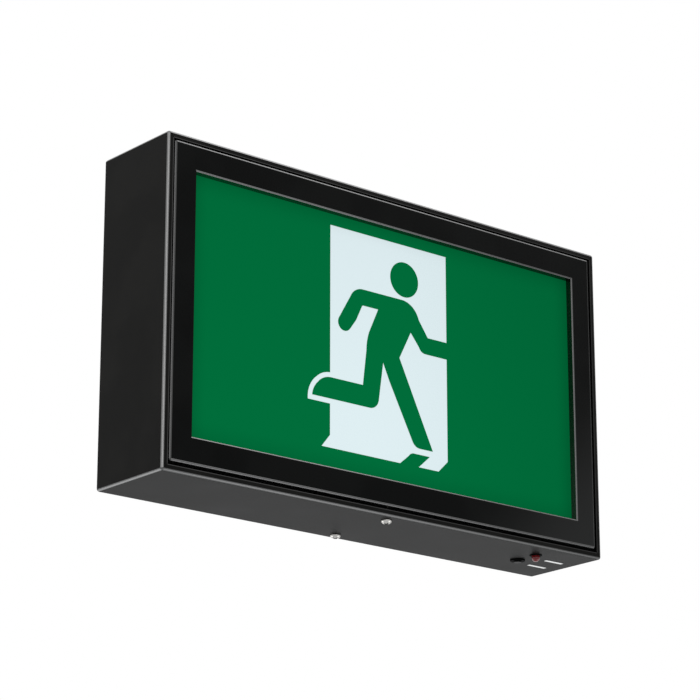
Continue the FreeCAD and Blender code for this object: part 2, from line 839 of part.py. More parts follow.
def make_clips():
    """Z-shaped spring clips: a foot under the nut, a riser and a finger on the panel."""
    clips = []
    nuts = []
    finger_back = PANEL_BACK - S.clip_sheet
    foot_back = FRAME_BACK - S.clip_sheet
    half = S.clip_width / 2
    for across, up, (side, level) in clip_spots():
        direction = side or level
        edge = PANEL_RIGHT * side
        if level > 0:
            edge = PANEL_TOP
        elif level < 0:
            edge = PANEL_BOTTOM
        along = up if side else across
        riser_in = edge + direction * S.clip_gap
        riser_out = riser_in + direction * S.clip_sheet
        foot_out = riser_in + direction * S.clip_foot
        finger_in = edge - direction * S.clip_reach

        def strip(first, second, back, front):
            low, high = (first, second) if direction > 0 else (second, first)
            if side:
                return block(low, high, back, front, along - half, along + half)
            return block(along - half, along + half, back, front, low, high)

        foot = strip(riser_in, foot_out, foot_back, FRAME_BACK)
        riser = strip(riser_in, riser_out, finger_back, FRAME_BACK)
        finger = strip(finger_in, riser_out, finger_back, PANEL_BACK)
        hole = rod_forward(across, foot_back, up, S.stud_radius + S.thread_gap, S.clip_sheet * 2)
        clips.append(cut(fuse(foot, riser, finger), hole))
        nut_back = foot_back - S.nut_thick
        nut = hex_forward(across, nut_back, up, S.nut_across / math.sqrt(3), S.nut_thick)
        bore = rod_forward(across, nut_back, up, S.stud_radius + S.thread_gap, S.nut_thick)
        nuts.append(cut(nut, bore))
    node("panel_clips", group(clips))
    node("clip_nuts", group(nuts))


# Light tray, its posts and the light boards


def post_spots():
    spots = []
    for side in BOTH_SIDES:
        for level in BOTH_SIDES:
            across = side * (TRAY_FLOOR_SIDE - S.post_inset_side)
            up = WINDOW_MIDDLE + level * (TRAY_FLOOR_UP - S.post_inset_up)
            spots.append((across, up))
    return spots


def light_row_level(step):
    return WINDOW_MIDDLE + step * (TRAY_FLOOR_UP - S.light_row_inset)


def board_screw_spots(step):
    reach = LIGHT_BOARD_HALF - S.board_screw_inset
    return [(side * reach, light_row_level(step)) for side in BOTH_SIDES]


def make_tray():
    body = doc.addObject("PartDesign::Body", "LightTray")

    def ring(name, depth, inset):
        side = TRAY_RIM_SIDE - inset
        end = TRAY_RIM_UP - inset
        corners = (-side, WINDOW_MIDDLE - end, side, WINDOW_MIDDLE + end)
        return plate_sketch(body, name, depth, [corners])

    thin = S.tray_sheet
    rounds = (
        ("AdditiveLoft", "TrayOutside", TRAY_BACK, S.tray_flare, ZERO),
        ("SubtractiveLoft", "TrayInside", TRAY_FRONT, S.tray_flare + thin, thin),
    )
    for kind, name, depth, base_inset, rim_inset in rounds:
        base = ring(f"{name}Base", depth, base_inset)
        rim = ring(f"{name}Rim", TRAY_RIM, rim_inset)
        loft = body.newObject(f"PartDesign::{kind}", name)
        loft.Profile = base
        loft.Sections = [rim]
        loft.Ruled = True
    hole = S.small_screw_radius + S.thread_gap
    holes = [(across, up, hole) for across, up in post_spots()]
    for step in LIGHT_ROWS.values():
        holes += [(across, up, hole) for across, up in board_screw_spots(step)]
    holes.append((LEAD_HOLE_SIDE, WINDOW_MIDDLE, S.lead_hole_radius))
    cut_backward(body, "TrayHoles", TRAY_FRONT, 2 * thin, circles=holes)
    node("light_tray", body)


def make_posts():
    posts = []
    screws = []
    for across, up in post_spots():
        post = hex_forward(across, S.cover_sheet, up, S.post_radius, S.post_length)
        bore_back = TRAY_BACK - S.small_screw_length
        bore_radius = S.small_screw_radius + S.thread_gap
        bore = rod_forward(across, bore_back, up, bore_radius, S.small_screw_length)
        posts.append(cut(post, bore))
        screws.append(small_screw(across, TRAY_FRONT, up))
    node("tray_posts", group(posts))
    node("tray_screws", group(screws))


def make_light_boards():
    screws = []
    half = S.light_board_height / 2
    reach = LIGHT_BOARD_HALF
    chip_pitch = 2 * (reach - S.chip_end_gap) / (CHIPS_IN_ROW - 1)
    for row, step in LIGHT_ROWS.items():
        level = light_row_level(step)
        plate = block(-reach, reach, TRAY_FRONT, LIGHT_FACE, level - half, level + half)
        holes = []
        for across, up in board_screw_spots(step):
            radius = S.small_screw_radius + S.thread_gap
            holes.append(rod_forward(across, TRAY_FRONT, up, radius, S.board_thick))
            screws.append(small_screw(across, LIGHT_FACE, up))
        node(f"{row}_light_board", cut(plate, *holes))
        chips = []
        side = S.chip_side / 2
        chip_face = LIGHT_FACE + S.chip_thick
        for index in range(CHIPS_IN_ROW):
            across = (index - (CHIPS_IN_ROW - 1) / 2) * chip_pitch
            chip = block(across - side, across + side, LIGHT_FACE, chip_face, level - side, level + side)
            chips.append(chip)
        node(f"{row}_light_chips", group(chips))
    node("light_board_screws", group(screws))


# Driver board on its spacers, with the components that it carries


def spacer_spots():
    spots = []
    for across in (DRIVER_LEFT + S.spacer_inset, DRIVER_RIGHT - S.spacer_inset):
        for up in (DRIVER_BOTTOM + S.spacer_inset, DRIVER_TOP - S.spacer_inset):
            spots.append((across, up))
    return spots


def on_board(left, bottom, length, height, thick):
    """A block that sits on the driver board's face."""
    return block(left, left + length, DRIVER_FACE, DRIVER_FACE + thick, bottom, bottom + height)


def make_driver_board():
    plate = block(DRIVER_LEFT, DRIVER_RIGHT, DRIVER_BACK, DRIVER_FACE, DRIVER_BOTTOM, DRIVER_TOP)
    radius = S.small_screw_radius + S.thread_gap
    holes = []
    spacers = []
    screws = []
    for across, up in spacer_spots():
        holes.append(rod_forward(across, DRIVER_BACK, up, radius, S.board_thick))
        spacer = hex_forward(across, S.cover_sheet, up, S.spacer_radius, S.spacer_length)
        bore_back = DRIVER_BACK - S.small_screw_length
        spacers.append(cut(spacer, rod_forward(across, bore_back, up, radius, S.small_screw_length)))
        screws.append(small_screw(across, DRIVER_FACE, up))
    node("driver_board", cut(plate, *holes))
    node("driver_spacers", group(spacers))
    node("driver_screws", group(screws))


def make_transformer():
    """A laminated core with two windows and the coil round its middle limb."""
    left = CORE_LEFT
    bottom = CORE_BOTTOM
    right = left + S.core_length
    top = bottom + S.core_height
    back = DRIVER_FACE + (S.coil_depth - S.core_thick) / 2
    front = back + S.core_thick
    middle = (left + right) / 2
    limb = S.core_limb
    core = block(left, right, back, front, bottom, top)
    low = bottom + limb
    high = top - limb
    windows = [
        block(left + limb, middle - limb, back, front, low, high),
        block(middle + limb, right - limb, back, front, low, high),
    ]
    node("transformer_core", cut(core, *windows))
    gap = S.coil_gap
    inset = limb + gap
    coil_front = DRIVER_FACE + S.coil_depth
    outer = block(left + inset, right - inset, DRIVER_FACE, coil_front, low + gap, high - gap)
    inner = block(middle - limb - gap, middle + limb + gap, back - gap, front + gap, low, high)
    node("transformer_coil", cut(outer, inner))


def make_board_components():
    big_side = CORE_LEFT + S.core_length + S.big_capacitor_radius * 2
    big_level = DRIVER_BOTTOM + S.driver_height / 2
    radius = S.big_capacitor_radius
    length = S.big_capacitor_length
    node("reservoir_capacitor", rod_forward(big_side, DRIVER_FACE, big_level, radius, length))
    radius = S.small_capacitor_radius
    small_level = big_level - S.big_capacitor_radius - S.small_capacitor_radius * 2
    length = S.small_capacitor_length
    node("timing_capacitor", rod_forward(big_side, DRIVER_FACE, small_level, radius, length))
    relay_top = DRIVER_TOP - S.spacer_inset / 2
    relay_left = CORE_LEFT + S.spacer_inset * 2
    relay_bottom = relay_top - S.relay_height
    relay = on_board(relay_left, relay_bottom, S.relay_length, S.relay_height, S.relay_thick)
    node("transfer_relay", relay)
    chip_left = DRIVER_LEFT + S.socket_length + S.spacer_inset
    chip_bottom = CORE_BOTTOM + S.core_height / 2
    chip = on_board(
        chip_left, chip_bottom, S.control_chip_length, S.control_chip_height, S.control_chip_thick
    )
    node("control_chip", chip)


def socket_places():
    """Left edge and bottom edge of each lead socket on the driver board."""
    low = DRIVER_BOTTOM
    right_edge = DRIVER_RIGHT - S.socket_length
    middle = DRIVER_BOTTOM + S.driver_height / 2
    return {
        "battery_socket": (DRIVER_LEFT, middle - S.socket_height / 2),
        "light_socket": (right_edge, middle + S.socket_height),
        "switch_socket": (right_edge - S.socket_length * 2, low),
        "lamp_socket": (right_edge - S.socket_length * 4, low),
    }


def make_sockets():
    for name, (left, bottom) in socket_places().items():
        socket = on_board(left, bottom, S.socket_length, S.socket_height, S.socket_thick)
        node(name, socket)


def make_terminal_block():
    left = DRIVER_LEFT + S.spacer_inset * 2
    top = DRIVER_TOP - S.spacer_inset / 4
    bottom = top - S.terminal_height
    shell = on_board(left, bottom, S.terminal_length, S.terminal_height, S.terminal_thick)
    front = DRIVER_FACE + S.terminal_thick
    level = (top + bottom) / 2
    wells = []
    screws = []
    entries = []
    for step in (-1, 0, 1):
        across = left + S.terminal_length / 2 + step * S.terminal_pitch
        radius = S.terminal_screw_radius
        depth = S.terminal_screw_depth
        wells.append(rod_forward(across, front - 2 * depth, level, radius + S.press_gap, 3 * depth))
        screws.append(rod_forward(across, front - 2 * depth, level, radius, depth))
        entry_back = DRIVER_FACE + radius
        entry_front = entry_back + 2 * radius
        left_side = across - radius
        right_side = across + radius
        entries.append(block(left_side, right_side, entry_back, entry_front, level + radius, top + radius))
    node("supply_terminal", cut(shell, *wells, *entries))
    node("terminal_screws", group(screws))


# Battery pack and strap


def make_battery():
    back = S.cover_sheet
    right = PACK_LEFT + S.cell_length
    half = S.cell_radius * 2
    front = back + 2 * S.cell_radius
    wrap = block(PACK_LEFT, right, back, front, PACK_MIDDLE - half, PACK_MIDDLE + half)
    ends = []
    for level in BOTH_SIDES:
        up = PACK_MIDDLE + level * half
        ends.append(rod_across(PACK_LEFT, back + S.cell_radius, up, S.cell_radius, S.cell_length))
    node("battery_pack", fuse(wrap, *ends))


def make_strap():
    """A folded strap over the pack, with a foot and a screw at each end."""
    middle = PACK_LEFT + S.cell_length / 2
    left = middle - S.strap_width / 2
    right = middle + S.strap_width / 2
    back = S.cover_sheet
    roof = back + 2 * S.cell_radius + S.strap_gap
    reach = S.cell_radius * 3 + S.strap_gap
    sheet = S.strap_sheet
    low = PACK_MIDDLE - reach - sheet
    high = PACK_MIDDLE + reach + sheet
    top = block(left, right, roof, roof + sheet, low, high)
    walls = [
        block(left, right, back, roof, low, low + sheet),
        block(left, right, back, roof, high - sheet, high),
    ]
    feet = [
        block(left, right, back, back + sheet, low - S.strap_foot, low),
        block(left, right, back, back + sheet, high, high + S.strap_foot),
    ]
    holes = []
    screws = []
    for up in (low - S.strap_foot / 2, high + S.strap_foot / 2):
        radius = S.small_screw_radius + S.thread_gap
        holes.append(rod_forward(middle, back, up, radius, sheet))
        head = rod_forward(middle, back + sheet, up, S.small_head_radius, S.small_head_height)
        shank = rod_forward(middle, back, up, S.small_screw_radius, sheet)
        screws.append(fuse(head, shank))
    node("battery_strap", cut(fuse(top, *walls, *feet), *holes))
    node("strap_screws", group(screws))


# Test switch: body and threaded bush, ring nut, plunger button and return spring


def make_switch():
    side = SWITCH_SIDE
    depth = S.switch_depth
    half = S.switch_body_side / 2
    floor = BOTTOM_FACE + S.housing_sheet
    top = floor + S.switch_body_height
    case = block(side - half, side + half, depth - half, depth + half, floor, top)
    ring_bottom = BOTTOM_FACE - S.nut_ring_thick
    bush = rod_up(side, depth, ring_bottom, S.switch_bush_radius, floor - ring_bottom)
    bore = rod_up(side, depth, ring_bottom, S.button_radius + S.button_gap, MOUTH_TOP - ring_bottom)
    room_radius = S.plunger_flange_radius + S.button_gap
    room = rod_up(side, depth, MOUTH_TOP, room_radius, SPRING_HEAD - MOUTH_TOP)
    node("switch_body", cut(fuse(case, bush), bore, room))
    ring = rod_up(side, depth, ring_bottom, S.nut_ring_radius, S.nut_ring_thick)
    hole = rod_up(side, depth, ring_bottom, S.switch_bush_radius + S.press_gap, S.nut_ring_thick)
    node("switch_ring_nut", cut(ring, hole))
    tip = ring_bottom - S.button_travel - S.button_stand
    flange_bottom = MOUTH_TOP + S.plunger_rest_gap
    stem = rod_up(side, depth, tip, S.button_radius, flange_bottom - tip)
    flange = rod_up(side, depth, flange_bottom, S.plunger_flange_radius, S.plunger_flange_thick)
    node("test_button", fuse(stem, flange))


def make_spring():
    """The spring between the plunger's flange and the roof of the switch body."""
    wire = S.spring_wire_radius.value
    gap = S.plunger_rest_gap.value
    low = SPRING_FOOT.value + wire + gap
    height = SPRING_HEAD.value - wire - gap - low
    radius = S.spring_radius.value
    quarters = round(4 * height / S.spring_pitch.value)

    def on_helix(turned):
        angle = math.pi / 2 * turned
        rise = height * turned / quarters
        return FreeCAD.Vector(radius * math.cos(angle), radius * math.sin(angle), rise)

    arcs = []
    for step in range(quarters):
        arc = Part.Arc(on_helix(step), on_helix(step + 0.5), on_helix(step + 1))
        arcs.append(arc.toShape())
    path = Part.Wire(arcs)
    first = path.Edges[0]
    along = first.tangentAt(first.FirstParameter)
    ring = Part.Wire([Part.makeCircle(wire, on_helix(0), along)])
    spring = doc.addObject("Part::Feature", "Spring")
    spring.Shape = path.makePipeShell([ring], True, False)
    spring.Placement.Base = FreeCAD.Vector(SWITCH_SIDE.value, -S.switch_depth.value, low)
    node("button_spring", spring)


# Pilot lamp in its snap-in holder


def make_lamp():
    side = LAMP_SIDE
    depth = S.lamp_depth
    floor = BOTTOM_FACE + S.housing_sheet
    ring_bottom = BOTTOM_FACE - S.holder_ring_thick
    barrel_radius = S.holder_hole_radius - S.press_gap
    ring = rod_up(side, depth, ring_bottom, S.holder_ring_radius, S.holder_ring_thick)
    barrel = rod_up(side, depth, ring_bottom, barrel_radius, S.holder_height)
    catch_radius = S.holder_ring_radius
    catch_length = S.holder_height + ring_bottom - floor
    catch = rod_up(side, depth, floor, catch_radius, catch_length)
    bore = rod_up(side, depth, ring_bottom, S.lamp_radius + S.press_gap, S.holder_height)
    node("lamp_holder", cut(fuse(ring, barrel, catch), bore))
    dome_level = BOTTOM_FACE - S.lamp_proud + S.lamp_radius
    seat = ring_bottom + S.holder_height
    glass = rod_up(side, depth, dome_level, S.lamp_radius, seat - dome_level)
    dome = doc.addObject("Part::Sphere", "Dome")
    tie(dome, "Radius", S.lamp_radius)
    tie(dome, "Placement.Base.x", side)
    tie(dome, "Placement.Base.y", -depth)
    tie(dome, "Placement.Base.z", dome_level)
    flange = rod_up(side, depth, seat, S.lamp_flange_radius, S.lamp_flange_thick)
    node("pilot_lamp", fuse(glass, dome, flange))


def make_marks():
    """Plain white bars where the print beside the switch and the lamp would be."""
    left = SWITCH_SIDE + S.mark_gap
    right = left + S.mark_length
    low = BOTTOM_FACE - S.mark_thick
    half = S.mark_width / 2
    for name, depth in (("switch_mark", S.switch_mark_depth), ("lamp_mark", S.lamp_mark_depth)):
        bar = block(left, right, depth - half, depth + half, low, BOTTOM_FACE)
        node(name, bar)


# Internal leads: straight runs joined by tangent arcs


def lead_path(points):
    """A wire through the points, each corner rounded by the largest arc its runs allow."""
    points = [FreeCAD.Vector(*(number(value) for value in point)) for point in points]
    edges = []
    here = points[0]
    for index in range(1, len(points) - 1):
        corner = points[index]
        back = points[index - 1] - corner
        ahead = points[index + 1] - corner
        turn = math.pi - back.getAngle(ahead)
        shorter = min(back.Length, ahead.Length)
        radius = 0.45 * shorter / math.tan(turn / 2)
        back.normalize()
        ahead.normalize()
        start = corner + back * (0.45 * shorter)
        end = corner + ahead * (0.45 * shorter)
        inward = (back + ahead).normalize()
        sag = radius / math.cos(turn / 2) - radius
        edges.append(Part.LineSegment(here, start).toShape())
        edges.append(Part.Arc(start, corner + inward * sag, end).toShape())
        here = end
    edges.append(Part.LineSegment(here, points[-1]).toShape())
    return Part.Wire(edges)


def lead_shape(points, radius):
    path = lead_path(points)
    first = path.Edges[0]
    start = first.valueAt(first.FirstParameter)
    along = first.tangentAt(first.FirstParameter)
    ring = Part.Wire([Part.makeCircle(radius, start, along)])
    tube = path.makePipeShell([ring], True, False)
    expected = math.pi * radius**2 * path.Length
    if abs(tube.Volume / expected - 1) > 0.02:
        raise RuntimeError("a lead's volume is off")
    return tube


def make_lead(name, points):
    lead = doc.addObject("Part::Feature", "Lead")
    lead.Shape = lead_shape(points, S.lead_radius.value)
    node(name, lead)


def make_battery_leads(left, bottom):
    """From the pack's right end to the socket on the driver board's left edge."""
    start = PACK_LEFT + S.cell_length
    depth = S.cover_sheet + S.cell_radius
    gap = left - start
    for name, sign in (("battery_lead_red", 1), ("battery_lead_black", -1)):
        apart = sign * S.lead_spread / 2
        low = PACK_MIDDLE + apart
        up = bottom + S.socket_height / 2 + apart
        make_lead(name, [
            (start, -depth, low),
            (start + 0.16 * gap, -depth, low),
            (start + 0.4 * gap, (depth + SOCKET_CENTRE) / -2, low - S.lead_sag),
            (left - 0.36 * gap, -SOCKET_CENTRE, up - 0.7 * S.lead_sag),
            (left - 0.15 * gap, -SOCKET_CENTRE, up),
            (left, -SOCKET_CENTRE, up),
        ])


def make_light_leads(left, bottom):
    """From the driver board, through the tray's hole, to the middle light board."""
    start = left + S.socket_length
    for name, sign in (("light_lead_red", 1), ("light_lead_black", -1)):
        apart = sign * S.lead_spread / 2
        up = bottom + S.socket_height / 2 + apart
        across = LEAD_HOLE_SIDE - apart
        crown = LIGHT_FACE + 2 * S.jumper_rise - apart
        landing = LIGHT_BOARD_HALF - S.small_head_radius + apart
        make_lead(name, [
            (start, -SOCKET_CENTRE, up),
            (across, -SOCKET_CENTRE, up),
            (across, -SOCKET_CENTRE, WINDOW_MIDDLE),
            (across, -crown, WINDOW_MIDDLE),
            (landing, -crown, WINDOW_MIDDLE),
            (landing, -LIGHT_FACE, WINDOW_MIDDLE),
        ])


def make_bottom_leads(names, side, depth, start, socket, rise, drop):
    """A pair of leads from a piece on the housing's bottom up to its socket's lower face."""
    left, bottom = socket
    for name, sign in zip(names, (1, -1)):
        apart = sign * S.lead_spread / 2
        first = side + apart
        last = left + S.socket_length / 2 + apart
        stub = start + S.lead_stub + apart
        make_lead(name, [
            (first, -depth, start),
            (first, -depth, stub),
            ((first + last) / 2, -0.6 * depth - 0.4 * SOCKET_CENTRE, stub + rise),
            (last, -SOCKET_CENTRE, bottom - drop + apart),
            (last, -SOCKET_CENTRE, bottom),
        ])


def make_leads():
    places = socket_places()
    make_battery_leads(*places["battery_socket"])
    make_light_leads(*places["light_socket"])
    names = ("switch_lead_white", "switch_lead_blue")
    top = BOTTOM_FACE + S.housing_sheet + S.switch_body_height
    socket = places["switch_socket"]
    make_bottom_leads(names, SWITCH_SIDE, S.switch_depth, top, socket, S.lead_radius, S.lead_drop)
    names = ("lamp_lead_red", "lamp_lead_black")
    top = BOTTOM_FACE - S.holder_ring_thick + S.holder_height + S.lamp_flange_thick
    socket = places["lamp_socket"]
    rise = S.lead_stub / 2
    drop = S.lead_drop + S.lead_spread
    make_bottom_leads(names, LAMP_SIDE, S.lamp_depth, top, socket, rise, drop)


def make_jumpers():
    """Wire staples that carry the supply from the middle light board to its neighbours."""
    staples = []
    half = S.light_board_height / 4
    face = -LIGHT_FACE
    crown = face - S.jumper_rise
    for step in BOTH_SIDES:
        start = light_row_level(0) + step * half
        end = light_row_level(step) - step * half
        for side in BOTH_SIDES:
            across = S.jumper_inset - LIGHT_BOARD_HALF + side * S.lead_spread / 2
            bends = ((face, start), (crown, start), (crown, end), (face, end))
            points = [(across, depth, up) for depth, up in bends]
            staples.append(lead_shape(points, S.jumper_radius.value))
    jumpers = doc.addObject("Part::Feature", "Jumpers")
    jumpers.Shape = Part.makeCompound(staples)
    node("board_jumpers", jumpers)


make_housing()
make_front_frame()
make_back_plate()
make_cable_bush()
make_cover_screw("front_cover_screw", S.housing_depth - S.screw_inset)
make_cover_screw("rear_cover_screw", S.screw_inset)
make_legend()
make_panel()
make_clips()
make_tray()
make_posts()
make_light_boards()
make_driver_board()
make_transformer()
make_board_components()
make_sockets()
make_terminal_block()
make_battery()
make_strap()
make_switch()
make_spring()
make_lamp()
make_marks()
make_leads()
make_jumpers()
doc.recompute()

for item in doc.Objects:
    if "Invalid" in item.State or "Error" in item.State:
        raise RuntimeError(f"{item.Label} did not build: {item.State}")

os.makedirs("parts", exist_ok=True)
for name, item in nodes.items():
    shape = item.Shape
    if shape.isNull() or not shape.isValid() or not shape.Solids:
        raise RuntimeError(f"{name} has no valid solid")
    shape.exportStep(f"parts/{name}.step")
print(f"{len(nodes)} nodes written")
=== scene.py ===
# %% [markdown]
# # An emergency exit light
# The real sign is a folded steel box, painted black, with a lit green legend in its front cover.
# Two plated screws, a test button and a red pilot lamp sit in its bottom face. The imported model
# gives every piece at its true size. This lesson keeps the pieces that nobody sees up close, and
# models anew the ones that catch the light, each in the room that its solid holds.

import json
import math

import bmesh
import bpy
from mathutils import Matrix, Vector


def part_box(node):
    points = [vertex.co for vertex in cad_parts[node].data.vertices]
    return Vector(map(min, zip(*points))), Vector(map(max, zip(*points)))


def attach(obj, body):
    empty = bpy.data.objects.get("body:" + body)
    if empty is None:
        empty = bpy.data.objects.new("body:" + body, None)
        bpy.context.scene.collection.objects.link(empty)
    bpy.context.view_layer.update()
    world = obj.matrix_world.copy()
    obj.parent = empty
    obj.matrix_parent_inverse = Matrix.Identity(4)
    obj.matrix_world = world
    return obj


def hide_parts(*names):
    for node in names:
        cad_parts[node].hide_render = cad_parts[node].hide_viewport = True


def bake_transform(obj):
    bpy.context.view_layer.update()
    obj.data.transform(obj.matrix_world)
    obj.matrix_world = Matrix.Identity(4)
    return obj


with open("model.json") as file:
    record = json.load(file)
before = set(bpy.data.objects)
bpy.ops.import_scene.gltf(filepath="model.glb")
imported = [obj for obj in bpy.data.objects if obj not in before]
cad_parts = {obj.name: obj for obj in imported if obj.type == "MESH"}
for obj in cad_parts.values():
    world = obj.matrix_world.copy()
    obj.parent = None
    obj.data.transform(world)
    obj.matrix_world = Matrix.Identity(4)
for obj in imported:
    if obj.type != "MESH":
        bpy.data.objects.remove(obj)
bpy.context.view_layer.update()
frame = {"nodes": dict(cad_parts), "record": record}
MM = 0.001

# %% [markdown]
# ## The camera
# The photographer stood to the left of the sign and below it, far back with a long lens. The
# camera looks along a line given by a turn about the vertical and a tilt above the horizon, so
# the two angles, the aim and the distance are all that it takes.

# %% Place the camera
TURN = math.radians(39.73)
TILT = math.radians(17.49)
AIM = Vector((7.3, -12.6, 15.8)) * MM
DISTANCE = 1682.8 * MM
LENS = 144.7

forward = Vector((math.sin(TURN) * math.cos(TILT), math.cos(TURN) * math.cos(TILT), math.sin(TILT)))
camera = bpy.data.objects.new("camera", bpy.data.cameras.new("camera"))
bpy.context.scene.collection.objects.link(camera)
camera.location = AIM - forward * DISTANCE
camera.rotation_euler = forward.to_track_quat("-Z", "Y").to_euler()
camera.data.lens = LENS
camera.data.clip_start = 0.01
camera.data.clip_end = 100
bpy.context.scene.camera = camera
print("camera stands at", [round(part, 3) for part in camera.location])

# %% [markdown]
# ## Shader sums as plain sums
# A finish is worked out from a few patterns. Written as nodes that takes a page of wiring, so a
# small class wraps one shader value and lets it be added, taken away and multiplied. A second
# class holds the material that is being made, and makes any other node by its type.


# %% A shader value
class Value:
    """One output of a shader node that takes part in sums."""

    def __init__(self, finish, socket):
        self.finish = finish
        self.socket = socket

    def sum(self, operation, left, right):
        return self.finish.node("ShaderNodeMath", {"operation": operation}, {0: left, 1: right})

    def __add__(self, other):
        return self.sum("ADD", self, other)

    def __radd__(self, other):
        return self.sum("ADD", other, self)

    def __sub__(self, other):
        return self.sum("SUBTRACT", self, other)

    def __rsub__(self, other):
        return self.sum("SUBTRACT", other, self)

    def __mul__(self, other):
        return self.sum("MULTIPLY", self, other)

    def __rmul__(self, other):
        return self.sum("MULTIPLY", other, self)

    def size(self):
        """How far the value is from nought."""
        return self.finish.node("ShaderNodeMath", {"operation": "ABSOLUTE"}, {0: self})


# %% A finish under construction
class Finish:
    """A material, its node tree and its shader."""

    def __init__(self, name, **constants):
        self.material = bpy.data.materials.new(name)
        self.material.use_nodes = True
        self.tree = self.material.node_tree
        self.shader = self.tree.nodes["Principled BSDF"]
        for socket, value in constants.items():
            self.shader.inputs[socket.replace("_", " ")].default_value = value

    def node(self, kind, settings, sockets, output=0):
        """A new node; its settings come first, then the values or links of its sockets."""
        made = self.tree.nodes.new(kind)
        for name, value in settings.items():
            setattr(made, name, value)
        for key, value in sockets.items():
            if isinstance(value, Value):
                self.tree.links.new(value.socket, made.inputs[key])
            else:
                made.inputs[key].default_value = value
        return Value(self, made.outputs[output])

    def feed(self, socket, value):
        """Leads a value into a socket of the shader."""
        self.tree.links.new(value.socket, self.shader.inputs[socket])

    def place(self):
        """The point on the piece, in metres."""
        return self.node("ShaderNodeTexCoord", {}, {}, "Object")

    def axes(self):
        """The point's x, y and z as three values."""
        parts = self.node("ShaderNodeSeparateXYZ", {}, {0: self.place()})
        return [Value(self, socket) for socket in parts.socket.node.outputs]

    def noise(self, scale, detail=2.0, stretch=(1, 1, 1)):
        """Cloudy values about 0.5; the scale is in patches to the metre."""
        placed = self.node("ShaderNodeMapping", {}, {"Vector": self.place(), "Scale": stretch})
        sockets = {"Vector": placed, "Scale": scale, "Detail": detail}
        return self.node("ShaderNodeTexNoise", {}, sockets)

    def between(self, amount, first, second):
        """A colour between two, by an amount from 0 to 1."""
        ends = [end if isinstance(end, Value) else (*end, 1) for end in (first, second)]
        sockets = {0: amount, 6: ends[0], 7: ends[1]}
        return self.node("ShaderNodeMix", {"data_type": "RGBA"}, sockets, 2)

    def mark(self, name):
        """A value that each face of the mesh carries, and nothing where there is none."""
        return self.node("ShaderNodeAttribute", {"attribute_name": name}, {}, "Fac")

    def fade(self, value, start, end, low=0.0, high=1.0):
        """A smooth change from low to high while the value goes from start to end."""
        sockets = {"Value": value, "From Min": start, "From Max": end, "To Min": low, "To Max": high}
        return self.node("ShaderNodeMapRange", {"interpolation_type": "SMOOTHSTEP"}, sockets)

    def bump(self, height, depth, strength):
        """Lets the surface catch light as if it rose and fell by a depth in metres."""
        sockets = {"Height": height, "Distance": depth, "Strength": strength}
        self.feed("Normal", self.node("ShaderNodeBump", {}, sockets))


# %% [markdown]
# ## The black powder coat
# The box, the cover and the back plate carry the same satin powder. Melted powder has a fine
# orange-peel skin, about half a millimetre across, and cloudy patches that shine a little more.
# On the flats it is a deep black. On the bends it is stretched thin and burnished by hands and
# cloths, so it shines grey there. The housing and the front cover mark their bends with an
# attribute named "polish", and that drives a hard, bright coat. People reach the sign from the
# left, so the polish fades towards the right. The cover's corner above the test button is painted
# a paler grey, a painted sheen that stands for a soft reflection.

# %% Powder coat
PEEL = 1500
PEEL_DEPTH = 0.02 * MM
CLOUD = 26
CLOUD_LOW = 0.36
CLOUD_HIGH = 0.64
# The paler grey and where it begins and ends make a painted sheen, a soft reflection put into the
# colour.
SHEEN_START = 140 * MM
SHEEN_END = 240 * MM
PAINTED_SHEEN_GREY = (0.023, 0.0235, 0.023)
WEAR_END = 165 * MM
RIGHT_POLISH = 0.55


def powder_coat(name, dark, pale, gloss, sheen_share):
    """Satin paint in two cloudy shades, with a painted sheen of paler grey at one corner by a share.
    """
    finish = Finish(name, Specular_IOR_Level=gloss, Coat_Roughness=0.22, Coat_IOR=2.4)
    clouds = finish.noise(CLOUD, 3)
    peel = finish.noise(PEEL, 2)
    across, _, up = finish.axes()
    # Painted sheen: towards the lower right corner the paint is mixed with a paler grey.
    painted_sheen = finish.fade(across - up, SHEEN_START, SHEEN_END, 0.0, sheen_share)
    paint = finish.between(finish.fade(clouds, CLOUD_LOW, CLOUD_HIGH), dark, pale)
    finish.feed("Base Color", finish.between(painted_sheen, paint, PAINTED_SHEEN_GREY))
    finish.feed("Roughness", 0.36 + 0.1 * clouds + 0.06 * peel)
    polish = finish.mark("polish") * finish.fade(across, -WEAR_END, WEAR_END, 1.0, RIGHT_POLISH)
    finish.feed("Coat Weight", polish * (0.85 + 0.3 * peel))
    finish.bump(peel, PEEL_DEPTH, 0.5)
    return finish.material


box_shades = (0.004, 0.004, 0.0036), (0.008, 0.0078, 0.0071)
cover_shades = (0.0016, 0.0019, 0.0018), (0.0036, 0.004, 0.0038)
box_coat = powder_coat("box_powder_coat", *box_shades, 0.05, 0.0)
# The cover takes the full painted sheen at its corner, and the box takes none.
cover_coat = powder_coat("cover_powder_coat", *cover_shades, 0.036, 1.0)
print("powder coats made", [coat.name for coat in (box_coat, cover_coat)])

# %% [markdown]
# ## The lit legend
# Behind the panel three rows of lights make an even glow that drops off within a centimetre of
# the window's edge, where the cover shades it. It is a little weaker towards the right and the
# top. The green print lets the same glow through. Both finishes mix a lit colour and a shaded one
# by that glow, and hold part of their colour in the surface, so that the legend still reads when
# its light is taken away.

# %% Glow of the light box
panel_low, panel_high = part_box("diffuser_panel")
PANEL_LAP = 5 * MM
window_side = panel_high.x - PANEL_LAP
window_top = panel_high.z - PANEL_LAP
window_bottom = panel_low.z + PANEL_LAP
window_middle = (window_top + window_bottom) / 2
window_half = (window_top - window_bottom) / 2
SHADE_WIDTH = 13 * MM
SIDE_GLOW = 0.8
END_GLOW = 0.85
SPREAD_START = -20 * MM
RIGHT_GLOW = 0.86
TOP_GLOW = 0.92
FINE = 0.01 * MM


